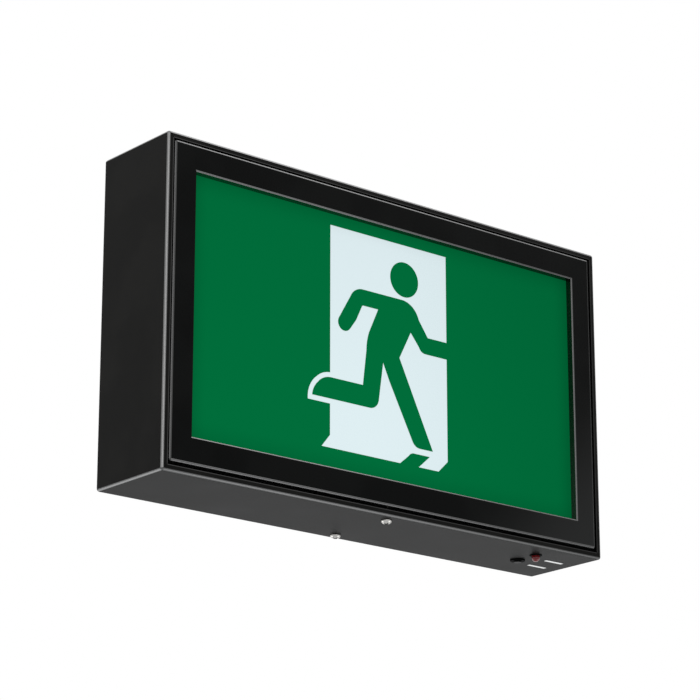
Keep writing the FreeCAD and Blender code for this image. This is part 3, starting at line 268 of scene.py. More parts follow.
def glow(finish):
    """The share of the full light that comes through at each point."""
    across, _, up = finish.axes()
    up = up - window_middle
    sides = finish.fade(window_side - across.size(), 0, SHADE_WIDTH, SIDE_GLOW, 1.0)
    ends = finish.fade(window_half - up.size(), 0, SHADE_WIDTH, END_GLOW, 1.0)
    spread = finish.fade(across, SPREAD_START, window_side, 1.0, RIGHT_GLOW)
    rise = finish.fade(up, -window_half, window_half, 1.0, TOP_GLOW)
    return sides * ends * spread * rise


def darker(colour, share):
    return tuple(share * part for part in colour)


def lit(name, shaded, bright, surface, **constants):
    """A sheet with light behind it, and with a surface colour of its own."""
    finish = Finish(name, Emission_Strength=1.0, **constants)
    finish.feed("Emission Color", finish.between(glow(finish), shaded, bright))
    grain = finish.noise(700, 2)
    finish.feed("Base Color", finish.between(grain, darker(surface, 0.94), surface))
    finish.bump(grain, FINE, 0.2)
    return finish.material


green_print = lit(
    "green_print",
    (0.0, 0.018, 0.0055),
    (0.0002, 0.119, 0.0335),
    (0.0, 0.05, 0.0142),
    Specular_IOR_Level=0.0,
    Roughness=0.5,
)
opal_panel = lit(
    "opal_panel",
    (0.1, 0.12, 0.13),
    (0.51, 0.605, 0.625),
    (0.33, 0.365, 0.375),
    Specular_IOR_Level=0.1,
    Roughness=0.4,
)
print("window", round(2 * window_side, 4), "by", round(2 * window_half, 4))

# %% [markdown]
# ## Metals and plastics
# The rest come in a few families. A metal is a bright colour with a fine grain in its roughness,
# and a mesh may carry a mark for painted shade, which makes its faces dark where shade falls in
# a recess or under an edge. A moulded plastic has a faint texture from its mould. Each family is
# one function, and a finish is its colour and a few numbers.


# %% Metals
# The dark colour of painted shade, for faces marked in recesses and under edges.
PAINTED_SHADE_COLOUR = (0.02, 0.018, 0.016)


def metal(name, colour, roughness, grain_scale, stretch=(1, 1, 1)):
    """Bare or plated metal with a grain, and painted shade on the faces that are marked."""
    finish = Finish(name, Metallic=1.0)
    grain = finish.noise(grain_scale, 4, stretch)
    clean = finish.between(grain, darker(colour, 0.72), colour)
    # Painted shade: the marked faces take the dark colour in place of the metal's own.
    finish.feed("Base Color", finish.between(finish.mark("recess_shade"), clean, PAINTED_SHADE_COLOUR))
    finish.feed("Roughness", roughness - 0.06 + 0.16 * grain)
    finish.bump(grain, FINE, 0.3)
    return finish.material


nickel = metal("nickel_plate", (0.86, 0.84, 0.8), 0.14, 700)
zinc = metal("zinc_plate", (0.62, 0.65, 0.68), 0.32, 500)
spring_steel = metal("spring_steel", (0.42, 0.43, 0.45), 0.36, 900, (1, 1, 6))
core_steel = metal("laminated_core", (0.3, 0.3, 0.32), 0.5, 160, (0.1, 12, 0.1))
print("metals made")


# %% Plastics
def moulded(name, colour, roughness, texture=1400, depth=FINE, **constants):
    """Moulded or painted stuff, faintly mottled, with the texture of its mould."""
    finish = Finish(name, **constants)
    grain = finish.noise(texture, 2)
    mottle = finish.noise(90, 2)
    finish.feed("Base Color", finish.between(mottle, darker(colour, 0.8), colour))
    finish.feed("Roughness", roughness - 0.05 + 0.1 * grain)
    finish.bump(grain, depth, 0.4)
    return finish.material


WHITE = (1, 1, 1, 1)
# The white marks are print and no lamp, yet they get a faint emission as painted light.
MARK_PAINTED_GLOW = {"Emission_Color": WHITE, "Emission_Strength": 0.25}

switch_black = moulded("switch_plastic", (0.004, 0.004, 0.004), 0.42, IOR=1.04)
button_black = moulded("button_plastic", (0.003, 0.003, 0.003), 0.3, IOR=1.1)
nut_black = moulded("black_oxide", (0.004, 0.004, 0.004), 0.36, IOR=1.03)
bush_nylon = moulded("bush_nylon", (0.014, 0.014, 0.014), 0.45)
mark_white = moulded("mark_ink_painted_glow", (0.9, 0.9, 0.89), 0.6, 2600, **MARK_PAINTED_GLOW)
tray_white = moulded("tray_enamel", (0.86, 0.86, 0.85), 0.3, 1100)
coil_tape = moulded("coil_tape", (0.74, 0.48, 0.07), 0.28)
capacitor_sleeve = moulded("capacitor_sleeve", (0.02, 0.03, 0.09), 0.25)
relay_case = moulded("relay_case", (0.03, 0.12, 0.4), 0.3)
chip_resin = moulded("chip_resin", (0.012, 0.012, 0.013), 0.6, 2500)
socket_nylon = moulded("socket_nylon", (0.78, 0.77, 0.72), 0.45)
terminal_green = moulded("terminal_plastic", (0.03, 0.25, 0.1), 0.38)
battery_wrap = moulded("battery_wrap", (0.02, 0.16, 0.3), 0.22, 300, 3 * FINE)
lead_red = moulded("red_insulation", (0.5, 0.02, 0.02), 0.35)
lead_black = moulded("black_insulation", (0.015, 0.015, 0.015), 0.35)
lead_white = moulded("white_insulation", (0.78, 0.78, 0.76), 0.35)
lead_blue = moulded("blue_insulation", (0.03, 0.1, 0.45), 0.35)
print("plastics made")

# %% [markdown]
# ## Boards
# A circuit board is resin under a coloured resist, with copper tracks that show through as paler
# lines. A Brick Texture draws such lines with one node: its bricks are the resist and its mortar
# the tracks. It is turned to lie in the plane of the boards, which stand upright.


# %% Boards
TRACK_SCALE = 150.0


def board(name, resist, track):
    """Resist of one colour with paler tracks under it."""
    finish = Finish(name, Roughness=0.3)
    flat = {"Vector": finish.place(), "Rotation": (math.pi / 2, 0, 0)}
    sockets = {
        "Vector": finish.node("ShaderNodeMapping", {}, flat),
        "Color1": (*resist, 1),
        "Color2": (*resist, 1),
        "Mortar": (*track, 1),
        "Scale": TRACK_SCALE,
        "Mortar Size": 0.03,
        "Brick Width": 1.4,
        "Row Height": 0.5,
    }
    settings = {"offset": 0.37, "squash": 0.6, "squash_frequency": 3}
    finish.feed("Base Color", finish.node("ShaderNodeTexBrick", settings, sockets))
    finish.bump(finish.noise(900, 2), FINE, 0.3)
    return finish.material


white_board = board("white_resist", (0.78, 0.8, 0.78), (0.6, 0.62, 0.6))
green_board = board("green_resist", (0.008, 0.1, 0.04), (0.03, 0.22, 0.1))
print("boards made")

# %% [markdown]
# ## Light chips and pilot lamp
# The light chips glow warm under their yellow silicone. The pilot lamp is clear-coated red epoxy.
# Real epoxy lets light through, but a lamp that is off shows a deep, dark red, so a plain dark
# colour under a clear coat does as well and is simpler to bake.


# %% Light chips and lamp
def light_chip():
    """Yellow silicone with a warm light of its own."""
    finish = Finish("phosphor", Roughness=0.25, Emission_Strength=2.0)
    spots = finish.noise(2500, 2)
    finish.feed("Base Color", finish.between(spots, (0.7, 0.55, 0.15), (0.9, 0.78, 0.3)))
    finish.feed("Emission Color", finish.between(spots, (0.8, 0.7, 0.5), (1.0, 0.93, 0.8)))
    return finish.material


def lamp_epoxy():
    """Dark red under a clear coat."""
    finish = Finish("lamp_epoxy", Coat_Weight=0.8, Coat_Roughness=0.04, Coat_IOR=1.3)
    depths = finish.noise(600, 2)
    finish.feed("Base Color", finish.between(depths, (0.12, 0.002, 0.004), (0.24, 0.006, 0.008)))
    finish.feed("Roughness", 0.12 + 0.1 * depths)
    return finish.material


phosphor = light_chip()
red_epoxy = lamp_epoxy()
print("finishes made", len(bpy.data.materials))

# %% [markdown]
# ## Hand the finishes to the solids
# The record names a material slot for each node. One table says which finish a slot gets, and
# every solid takes its own, also the ones that a modelled piece will stand for later.

# %% Finish every solid
SLOT_FINISH = {
    "housing_paint": box_coat,
    "frame_paint": cover_coat,
    "plate_paint": cover_coat,
    "tray_paint": tray_white,
    "green_print": green_print,
    "opal_panel": opal_panel,
    "screw_plating": nickel,
    "zinc_plating": zinc,
    "spring_steel": spring_steel,
    "cable_bush_nylon": bush_nylon,
    "white_board": white_board,
    "green_board": green_board,
    "light_chip": phosphor,
    "core_steel": core_steel,
    "coil_tape": coil_tape,
    "capacitor_sleeve": capacitor_sleeve,
    "relay_case": relay_case,
    "chip_resin": chip_resin,
    "socket_nylon": socket_nylon,
    "terminal_plastic": terminal_green,
    "battery_sleeve": battery_wrap,
    "switch_plastic": switch_black,
    "button_plastic": button_black,
    "ring_nut_black": nut_black,
    "lamp_red": red_epoxy,
    "mark_white": mark_white,
    "lead_red": lead_red,
    "lead_black": lead_black,
    "lead_white": lead_white,
    "lead_blue": lead_blue,
}

for part in frame["record"]["subparts"]:
    solid = frame["nodes"][part["node"]]
    solid.data.materials.clear()
    solid.data.materials.append(SLOT_FINISH[part["material_slot"]])

# %% [markdown]
# ## Tools for the bench
# Modelling by script is modelling by hand with the mouse left out: add a primitive, pick some
# faces or edges, extrude, inset or bevel them, then let modifiers finish the work. These helpers
# each do one of those moves.


# %% Pick and change
def use(piece):
    """Makes one object the only selected one, out of edit mode."""
    if bpy.context.object and bpy.context.object.mode != "OBJECT":
        bpy.ops.object.mode_set(mode="OBJECT")
    bpy.ops.object.select_all(action="DESELECT")
    if piece:
        piece.select_set(True)
        bpy.context.view_layer.objects.active = piece


def pick(piece, kind, test):
    """Enters edit mode with only the faces or edges selected that pass a test."""
    use(piece)
    bpy.ops.object.mode_set(mode="EDIT")
    bpy.ops.mesh.select_mode(type=kind)
    bpy.ops.mesh.select_all(action="DESELECT")
    shape = bmesh.from_edit_mesh(piece.data)
    parts = shape.faces if kind == "FACE" else shape.edges
    for part in parts:
        if test(part):
            part.select_set(True)
    bmesh.update_edit_mesh(piece.data)


def apply_modifier(piece, kind, **settings):
    """Adds one modifier with its settings and applies it at once."""
    use(piece)
    modifier = piece.modifiers.new(kind.lower(), kind)
    for name, value in settings.items():
        setattr(modifier, name, value)
    bpy.ops.object.modifier_apply(modifier=modifier.name)


def carve(piece, tools):
    """Takes the room of each tool out of the piece, and the tools go."""
    for tool in tools:
        apply_modifier(piece, "BOOLEAN", operation="DIFFERENCE", solver="EXACT", object=tool)
        bpy.data.objects.remove(tool)


def weld(piece, others):
    """Joins other objects into the piece."""
    use(piece)
    for other in others:
        other.select_set(True)
    bpy.ops.object.join()


def copied(piece, shift):
    """A copy with its own mesh, moved."""
    use(piece)
    bpy.ops.object.duplicate()
    bpy.ops.transform.translate(value=shift)
    bpy.ops.object.transform_apply(location=True, rotation=True, scale=True)
    return bpy.context.object


# %% [markdown]
# Two starts are enough for this box. What is folded from sheet starts as a block. What comes off a
# lathe starts as one point, which is extruded along half of the piece's outline and then spun, so
# that a turned piece is a short list of radii and heights.


# %% Blocks and turned pieces
def block(name, low, high):
    """A cube primitive between two corners, with its place in its mesh."""
    use(None)
    low, high = Vector(low), Vector(high)
    bpy.ops.mesh.primitive_cube_add(size=1, location=(low + high) / 2, scale=high - low)
    bpy.ops.object.transform_apply(location=True, rotation=True, scale=True)
    bpy.context.object.name = name
    return bpy.context.object


UPRIGHT = (0, 0, 0)
FORWARD = (math.pi / 2, 0, 0)
BACKWARD = (-math.pi / 2, 0, 0)
SOFT = 0.3 * MM
ROD_STEPS = 40


def turned(name, place, profile, steps=48, turn=UPRIGHT):
    """A profile of (radius, height) points spun about its axis, which stands at a place."""
    use(None)
    bpy.ops.mesh.primitive_plane_add(size=MM)
    piece = bpy.context.object
    piece.name = name
    bpy.ops.object.mode_set(mode="EDIT")
    bpy.ops.mesh.select_mode(type="VERT")
    bpy.ops.mesh.select_all(action="SELECT")
    bpy.ops.mesh.merge(type="CENTER")
    here = profile[0]
    bpy.ops.transform.translate(value=(here[0], 0, here[1]))
    for point in profile[1:]:
        step = (point[0] - here[0], 0, point[1] - here[1])
        bpy.ops.mesh.extrude_region_move(TRANSFORM_OT_translate={"value": step})
        here = point
    bpy.ops.mesh.select_all(action="SELECT")
    bpy.ops.mesh.spin(steps=steps, angle=2 * math.pi, center=(0, 0, 0), axis=(0, 0, 1))
    bpy.ops.mesh.select_all(action="SELECT")
    bpy.ops.mesh.remove_doubles(threshold=0.001 * MM)
    bpy.ops.mesh.select_all(action="SELECT")
    bpy.ops.mesh.normals_make_consistent(inside=False)
    bpy.ops.object.mode_set(mode="OBJECT")
    piece.rotation_euler = turn
    piece.location = place
    bpy.ops.object.transform_apply(location=True, rotation=True, scale=True)
    return piece


def rod(name, place, radius, length, turn=UPRIGHT):
    """A plain round bar."""
    profile = [(0, 0), (radius, 0), (radius, length), (0, length)]
    return turned(name, place, profile, ROD_STEPS, turn)


def rounded(profile, corner, radius, steps=4):
    """The profile with one corner replaced by an arc of a radius."""
    before, middle, after = (Vector(profile[corner + step]) for step in (-1, 0, 1))
    back = (before - middle).normalized()
    ahead = (after - middle).normalized()
    half = back.angle(ahead) / 2
    reach = radius / math.tan(half)
    centre = middle + (back + ahead).normalized() * (radius / math.sin(half))
    first = middle + back * reach - centre
    last = middle + ahead * reach - centre
    sweep = first.angle(last)
    arc = []
    for step in range(steps + 1):
        share = step / steps
        mixed = first * math.sin((1 - share) * sweep) + last * math.sin(share * sweep)
        arc.append(tuple(centre + mixed / math.sin(sweep)))
    return [*profile[:corner], *arc, *profile[corner + 1 :]]


# %% [markdown]
# A finished piece is shaded smooth up to a sharp angle, and weighted normals keep its flats flat
# beside a bevel. It then takes the place of its solid: it gets its finish, rides on a body, and
# the solid is hidden.

# %% Finish and hand over
SMOOTH_ANGLE = math.radians(32)


def hand_over(piece, finish, replaced, body="sign"):
    """Smooths a piece, gives it its finish, sets it on a body and hides the solids that it stands
    for.
    """
    use(piece)
    bpy.ops.object.shade_smooth_by_angle(angle=SMOOTH_ANGLE)
    apply_modifier(piece, "WEIGHTED_NORMAL", keep_sharp=True, weight=100)
    piece.data.materials.clear()
    piece.data.materials.append(finish)
    if body is not None:
        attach(piece, body)
    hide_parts(*replaced)
    print(piece.name, "faces", len(piece.data.polygons))


# %% [markdown]
# ## Burnished bends
# A face of the mesh lies in a bend when it is nearer than the bend's radius to two outer faces
# at once. Those faces get polish, and the flats none. Only the crest of the housing's wide bends
# is burnished, so a share of their radius counts there. The bends that lie against the wall stay
# dull.


# %% Mark the bends
def mark_bends(piece, low, high, radius, upright=1.0):
    """Marks the faces in a bend; those that run up get a share of their own."""
    polish = piece.data.attributes.new("polish", "FLOAT", "FACE")
    for face in piece.data.polygons:
        place = face.center
        gaps = [min(place[axis] - low[axis], high[axis] - place[axis]) for axis in range(3)]
        share = upright if gaps[0] < radius else 1.0
        if sorted(gaps)[1] < radius and high.y - place.y > radius:
            polish.data[face.index].value = share
    print(piece.name, "burnished faces", sum(mark.value > 0 for mark in polish.data))


# %% [markdown]
# ## The housing
# The box is one steel strip folded round, with a narrow rim turned inwards at the front and the
# back. On the bench that is a block: bevel its twelve edges for the bends, inset the front and
# back faces to the rim's width, open them, and let Solidify give the sheet its thickness. A
# second, narrow inset keeps the burr of the cut edge, which catches a faint light.

# %% Fold the housing
SHEET = 1.0 * MM
BEND = 1.8 * MM
BURNISHED = 0.65
RIM = 3.8 * MM
BURR = 0.35 * MM
BURR_POLISH = 0.3
BEND_STEPS = 6
LARGE_AREA = 0.01

house_low, house_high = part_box("housing")
housing = block("steel_housing", house_low, house_high)
pick(housing, "EDGE", lambda edge: True)
bpy.ops.mesh.bevel(offset=BEND, segments=BEND_STEPS, affect="EDGES")


def large_end(face):
    """The flat part of the front or the back."""
    return abs(face.normal.y) > 0.99 and face.calc_area() > LARGE_AREA


pick(housing, "FACE", large_end)
bpy.ops.mesh.inset(thickness=RIM - BEND - BURR)
bpy.ops.mesh.inset(thickness=BURR)
bpy.ops.mesh.delete(type="FACE")
bpy.ops.object.mode_set(mode="OBJECT")
mark_bends(housing, house_low, house_high, BURNISHED * BEND)
for face in housing.data.polygons:
    inward = min(house_high.x - abs(face.center.x), house_high.z - abs(face.center.z))
    if RIM - BURR < inward < RIM:
        housing.data.attributes["polish"].data[face.index].value = BURR_POLISH
apply_modifier(housing, "SOLIDIFY", thickness=SHEET, offset=-1, use_even_offset=True)
print("folded sheet of", round(SHEET / MM, 2), "mm with bends of", round(BEND / MM, 2), "mm")

# %% [markdown]
# Four holes in the bottom take the screws, the switch and the lamp. Each is cut by a rod on the
# axis of the solid that goes through it, so the two can't drift apart. The rims meet in a fine
# mitred seam at each corner. That is a cut too: a thin blade, turned to the corner's diagonal.

# %% Cut its holes and seams
SCREW_HOLE = 2.0 * MM
SWITCH_HOLE = 3.55 * MM
LAMP_HOLE = 3.3 * MM
SEAM = 0.25 * MM


def middle_of(node):
    """The middle of a solid's box."""
    low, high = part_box(node)
    return (low + high) / 2


def hole_tool(node, radius):
    """A rod through the bottom face, on the axis of a solid."""
    middle = middle_of(node)
    return rod("hole_tool", (middle.x, middle.y, house_low.z - SHEET), radius, 3 * SHEET)


def seam_tool(side, level, depth):
    """A thin blade on the diagonal of one corner of a rim."""
    reach = 4 * RIM
    blade = block("blade", (-reach, -SEAM, -SEAM / 2), (reach, SEAM, SEAM / 2))
    blade.rotation_euler = (0, -side * level * math.pi / 4, 0)
    blade.location = (side * (house_high.x - RIM), depth, level * (house_high.z - RIM))
    bpy.ops.object.transform_apply(location=True, rotation=True, scale=True)
    return blade


tools = [
    hole_tool("front_cover_screw", SCREW_HOLE),
    hole_tool("rear_cover_screw", SCREW_HOLE),
    hole_tool("switch_ring_nut", SWITCH_HOLE),
    hole_tool("lamp_holder", LAMP_HOLE),
]
for side in (-1, 1):
    for level in (-1, 1):
        tools.append(seam_tool(side, level, house_low.y))
        tools.append(seam_tool(side, level, house_high.y))
carve(housing, tools)
hand_over(housing, box_coat, ["housing"])

# %% [markdown]
# ## The two covers
# The front cover and the back plate come from one tool: a shallow tray pressed from sheet, with
# a return all round. Both start as a block whose outer face is bevelled. The inner face goes, and
# Solidify gives the sheet. Only the openings differ.

# %% Start a cover
RETURN = 9 * MM
EDGE = 1.4 * MM
EDGE_STEPS = 5
HOOK_RISE = 2.5 * MM
CLOSE = 0.01 * MM

cover_low, cover_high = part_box("front_frame")
cover_side = cover_high.x
cover_top = cover_high.z - HOOK_RISE
cover_bottom = cover_low.z
front = house_low.y
wall = house_high.y


def same(first, second):
    """Whether two measures agree to a hundredth of a millimetre."""
    return abs(first - second) < CLOSE


def behind(outer, depth):
    """The y at a depth behind a cover's outer face."""
    return outer + depth if outer == front else outer - depth


def slab(left, right, outer, near, far, bottom, top):
    """A block between two depths behind a cover's outer face."""
    ends = sorted((behind(outer, near), behind(outer, far)))
    return block("slab", (left, ends[0], bottom), (right, ends[1], top))


def start_cover(name, outer):
    """A block with bevelled outer edges and corners, and without its inner face."""
    cover = slab(-cover_side, cover_side, outer, 0, RETURN, cover_bottom, cover_top)
    cover.name = name

    def outer_edge(edge):
        return any(same(vertex.co.y, outer) for vertex in edge.verts)

    def inner_face(face):
        return same(face.calc_center_median().y, behind(outer, RETURN))

    pick(cover, "EDGE", outer_edge)
    bpy.ops.mesh.bevel(offset=EDGE, segments=EDGE_STEPS, affect="EDGES")
    pick(cover, "FACE", inner_face)
    bpy.ops.mesh.delete(type="ONLY_FACE")
    bpy.ops.object.mode_set(mode="OBJECT")
    return cover


print("covers", round(2 * cover_side, 4), "by", round(cover_top - cover_bottom, 4))

# %% [markdown]
# A cover has two hooks at the top that stand behind the rim, and a tab at the bottom with a drawn
# collar for the screw. A hook is a strip that is lanced out of the return, so it leaves a slot
# behind it. All of them are made apart, get their own soft edges, and are joined to the sheet.

# %% Hooks, tab and collar
HOOK_HALF = 10 * MM
HOOK_PLACE = 95 * MM
HOOK_GAP = 0.2 * MM
TAB_HALF = 12 * MM
TAB_DEPTH = 15 * MM
COLLAR_RISE = 1.5 * MM
COLLAR_RADIUS = 3.2 * MM
NECK_RADIUS = 2.4 * MM
SCREW_BORE = 1.8 * MM
HOOK_SOFT = 0.2 * MM
TAB_SOFT = 0.15 * MM
COLLAR_SOFT = 0.4 * MM


def hook(cover, outer, side):
    """Cuts one slot in the top return and gives the strip that is lanced out of it."""
    left = side * HOOK_PLACE - HOOK_HALF
    right = side * HOOK_PLACE + HOOK_HALF
    near = SHEET + HOOK_GAP
    far = near + SHEET
    slot = slab(left, right, outer, far, far + HOOK_RISE, cover_top - 2 * SHEET, cover_top + SHEET)
    carve(cover, [slot])
    strip = slab(left, right, outer, near, far, cover_top - SHEET, cover_top + HOOK_RISE)
    apply_modifier(strip, "BEVEL", width=HOOK_SOFT, segments=2)
    return strip


def add_fixings(cover, outer, screw):
    """Welds the hooks, the tab and the collar to a cover."""
    middle = middle_of(screw)
    foot = (0, middle.y, cover_bottom)
    tab = slab(-TAB_HALF, TAB_HALF, outer, RETURN, TAB_DEPTH, cover_bottom, cover_bottom + SHEET)
    apply_modifier(tab, "BEVEL", width=TAB_SOFT, segments=2)
    for sheet in (cover, tab):
        carve(sheet, [rod("neck", (0, middle.y, cover_bottom - SHEET), NECK_RADIUS, 3 * SHEET)])
    collar = [
        (SCREW_BORE, 0),
        (SCREW_BORE, SHEET + COLLAR_RISE),
        (COLLAR_RADIUS, SHEET + COLLAR_RISE),
        (COLLAR_RADIUS, SHEET),
        (NECK_RADIUS, SHEET),
        (NECK_RADIUS, 0),
        (SCREW_BORE, 0),
    ]
    ring = turned("collar", foot, rounded(collar, 2, COLLAR_SOFT))
    hooks = [hook(cover, outer, side) for side in (-1, 1)]
    weld(cover, [*hooks, tab, ring])
    print(cover.name, "fixings welded on")


# %% [markdown]
# ### The front cover
# Its face is inset to the border and pushed back to make the window with its lip. The borders
# are not quite equal, so the window's edges are slid to their places before the push. The lip's
# front edge is a fold, so it is bevelled like the outer edge.

# %% Open the window
LIP_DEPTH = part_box("legend_print")[0].y - front
BORDER = cover_side - window_side
LIP_EDGE = 0.9 * MM
SLACK = 0.1 * MM

cover = start_cover("front_cover", front)


def front_face(face):
    """The flat front of the cover."""
    return same(face.calc_center_median().y, front)


def at_window(vertex):
    """Whether a point of the flat front is no further out than the window's sides."""
    return same(vertex.co.y, front) and abs(vertex.co.x) < window_side + SLACK


def in_window(part):
    """Whether all of an edge or a face is part of the window."""
    return all(at_window(vertex) for vertex in part.verts)


def slide_edge(height, target):
    """Moves the window's edge at one height to its own place."""

    def at_height(edge):
        return in_window(edge) and all(abs(vertex.co.z - height) < SLACK for vertex in edge.verts)

    pick(cover, "EDGE", at_height)
    bpy.ops.transform.translate(value=(0, 0, target - height))


pick(cover, "FACE", front_face)
bpy.ops.mesh.inset(thickness=BORDER - EDGE)
slide_edge(cover_top - BORDER, window_top)
slide_edge(cover_bottom + BORDER, window_bottom)
pick(cover, "FACE", in_window)
bpy.ops.mesh.extrude_region_move(TRANSFORM_OT_translate={"value": (0, LIP_DEPTH, 0)})
bpy.ops.mesh.delete(type="ONLY_FACE")
pick(cover, "EDGE", in_window)
bpy.ops.mesh.bevel(offset=LIP_EDGE, segments=EDGE_STEPS, affect="EDGES")
bpy.ops.object.mode_set(mode="OBJECT")
print("front cover faces", len(cover.data.polygons))

# %% [markdown]
# The cover's outline gets its polish while it is still a thin skin, because Solidify hands each
# face's mark on. Its uprights are rubbed less than its top and bottom. The fold of the window is
# burnished all over, but for its left side, which stays dull. The outline that is given for the
# bends has its back far behind the cover, so that only the front counts.

# %% Polish its edges and thicken it
FAR_BACK = 1.0
UPRIGHT_POLISH = 0.4
outline_low = Vector((-cover_side, front, cover_bottom))
outline_high = Vector((cover_side, FAR_BACK, cover_top))
mark_bends(cover, outline_low, outline_high, EDGE, UPRIGHT_POLISH)
for face in cover.data.polygons:
    place = face.center
    out = max(abs(place.x) - window_side, place.z - window_top, window_bottom - place.z)
    if out < LIP_EDGE and place.x > -window_side:
        cover.data.attributes["polish"].data[face.index].value = 1.0
apply_modifier(cover, "SOLIDIFY", thickness=SHEET, offset=-1, use_even_offset=True)

# %% [markdown]
# Eight studs are welded round the window for the panel's clips. One is modelled, and the other
# seven are copies of it.

# %% Weld the studs and the fixings
STUD_RADIUS = 1.5 * MM
STUD_LENGTH = 5 * MM
STUD_INSET = 9.6 * MM
STUD_UP = 42 * MM
STUD_ACROSS = 100 * MM
STUD_STEPS = 24

spots = []
for side in (-1, 1):
    for level in (-1, 1):
        spots.append(Vector((side * (window_side + STUD_INSET), 0, window_middle + level * STUD_UP)))
        up = window_middle + level * (window_half + STUD_INSET)
        spots.append(Vector((side * STUD_ACROSS, 0, up)))
stud_profile = [(0, 0), (STUD_RADIUS, 0), (STUD_RADIUS, STUD_LENGTH), (0, STUD_LENGTH)]
foot = spots[0] + Vector((0, front + SHEET, 0))
stud = turned("stud", foot, rounded(stud_profile, 2, SOFT), STUD_STEPS, BACKWARD)
studs = [stud] + [copied(stud, spot - spots[0]) for spot in spots[1:]]
add_fixings(cover, front, "front_cover_screw")
weld(cover, studs)
hand_over(cover, cover_coat, ["front_frame"])

# %% [markdown]
# ### The back plate
# The same pressing, turned round to face the wall. It has four holes for wall screws, two slots
# for a wall box and the cable's hole in the middle. They are all cut by Boolean tools after the
# sheet has its thickness, which keeps their edges square, as a punch leaves them. A slot is cut by
# a block between two rods.

# %% Model the back plate
FIXING_RADIUS = 2.6 * MM
FIXING_SIDE = 140 * MM
FIXING_UP = 70 * MM
SLOT_PLACE = 44.45 * MM
SLOT_HALF = 2.5 * MM
SLOT_RUN = 4 * MM
CABLE_RADIUS = 8 * MM

plate = start_cover("back_plate_sheet", wall)
apply_modifier(plate, "SOLIDIFY", thickness=SHEET, offset=-1, use_even_offset=True)


def wall_rod(across, up, radius):
    """A rod through the plate's face."""
    return rod("wall_rod", (across, wall + SHEET, up), radius, 3 * SHEET, FORWARD)


openings = [wall_rod(0, 0, CABLE_RADIUS)]
for side in (-1, 1):
    for level in (-1, 1):
        openings.append(wall_rod(side * FIXING_SIDE, level * FIXING_UP, FIXING_RADIUS))
    middle = side * SLOT_PLACE
    left, right = middle - SLOT_RUN, middle + SLOT_RUN
    slot_low = (left, wall - 2 * SHEET, -SLOT_HALF)
    slot_high = (right, wall + SHEET, SLOT_HALF)
    openings.append(block("slot", slot_low, slot_high))
    openings.append(wall_rod(left, 0, SLOT_HALF))
    openings.append(wall_rod(right, 0, SLOT_HALF))
carve(plate, openings)
add_fixings(plate, wall, "rear_cover_screw")
hand_over(plate, cover_coat, ["back_plate"])

# %% [markdown]
# ## The cover screws
# A plated pan-head screw holds each cover. It is turned from one profile: half an ellipse for the
# head's dome, then a straight shank with threads. The threads are plain rings and no helix, which
# nobody can tell inside the box.

# %% Model a screw
HEAD_RADIUS = 3.1 * MM
HEAD_HEIGHT = 2.4 * MM
HEAD_EDGE = 0.6 * MM
HEAD_LIP = 0.15 * MM
SHANK = 1.75 * MM
THREAD_DEPTH = 0.3 * MM
THREADS = 11
DOME_STEPS = 8

seat = house_low.z
screw_middle = middle_of("front_cover_screw")
shank_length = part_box("front_cover_screw")[1].z - seat


def dome_height(radius):
    """The height of the dome's skin, half an ellipse, at a distance from the axis."""
    return -HEAD_EDGE - (HEAD_HEIGHT - HEAD_EDGE) * math.sqrt(1 - (radius / HEAD_RADIUS) ** 2)


profile = []
for step in range(DOME_STEPS + 1):
    radius = HEAD_RADIUS * math.sin(math.pi / 2 * step / DOME_STEPS)
    profile.append((radius, dome_height(radius)))
profile += [(HEAD_RADIUS, -HEAD_LIP), (HEAD_RADIUS - HEAD_LIP, 0), (SHANK, 0)]
pitch = (shank_length - SHEET) / (THREADS + 1)
for ridge in range(THREADS):
    root = SHEET + ridge * pitch
    profile += [(SHANK - THREAD_DEPTH, root), (SHANK, root + pitch / 2)]
profile += [(SHANK - THREAD_DEPTH, shank_length - pitch), (0, shank_length)]
front_screw = turned("front_pan_screw", (screw_middle.x, screw_middle.y, seat), profile)
print("thread pitch", round(pitch / MM, 2), "mm")

# %% [markdown]
# The cross recess is cut by two blades that taper, as the driver's tip does. The faces in the
# recess and just under the head's edge are marked for painted shade, where shade would fall. The
# second screw is a copy with its own mesh, moved to the back.

# %% Cut the cross and copy the screw
RECESS_HALF = 2.232 * MM
BLADE_HALF = 0.6 * MM
RECESS_DEPTH = 1.4 * MM
RECESS_TAPER = 0.55
SKIN = 0.06 * MM


def recess_blade(across, along):
    """One blade of the cross, narrower where it goes deep."""
    top = seat - HEAD_HEIGHT
    low = (screw_middle.x - across, screw_middle.y - along, top - SHEET)
    high = (screw_middle.x + across, screw_middle.y + along, top + RECESS_DEPTH)
    blade = block("recess", low, high)
    pick(blade, "FACE", lambda face: face.normal.z > 0.9)
    bpy.ops.transform.resize(value=(RECESS_TAPER, RECESS_TAPER, 1))
    bpy.ops.object.mode_set(mode="OBJECT")
    return blade


carve(front_screw, [recess_blade(RECESS_HALF, BLADE_HALF), recess_blade(BLADE_HALF, RECESS_HALF)])
# Painted shade: faces in the recess and in the band under the head's edge are marked dark.
recess_shade = front_screw.data.attributes.new("recess_shade", "FLOAT", "FACE")
for face in front_screw.data.polygons:
    radius = (face.center.xy - screw_middle.xy).length
    height = face.center.z - seat
    under_skin = height - dome_height(min(radius, HEAD_RADIUS)) > SKIN
    if height < 0 and (height > -HEAD_LIP or (under_skin and radius < RECESS_HALF)):
        recess_shade.data[face.index].value = 1.0
rear_screw = copied(front_screw, middle_of("rear_cover_screw") - screw_middle)
rear_screw.name = "rear_pan_screw"
hand_over(front_screw, nickel, ["front_cover_screw"])
hand_over(rear_screw, nickel, ["rear_cover_screw"])

# %% [markdown]
# ## The test switch
# A ring nut with knurled sides holds the switch in its hole. It is turned with many steps, so that
# its round edge stays smooth, and a ring of small rods cuts all the knurls at once. One rod is
# modelled and the others are copies of it.

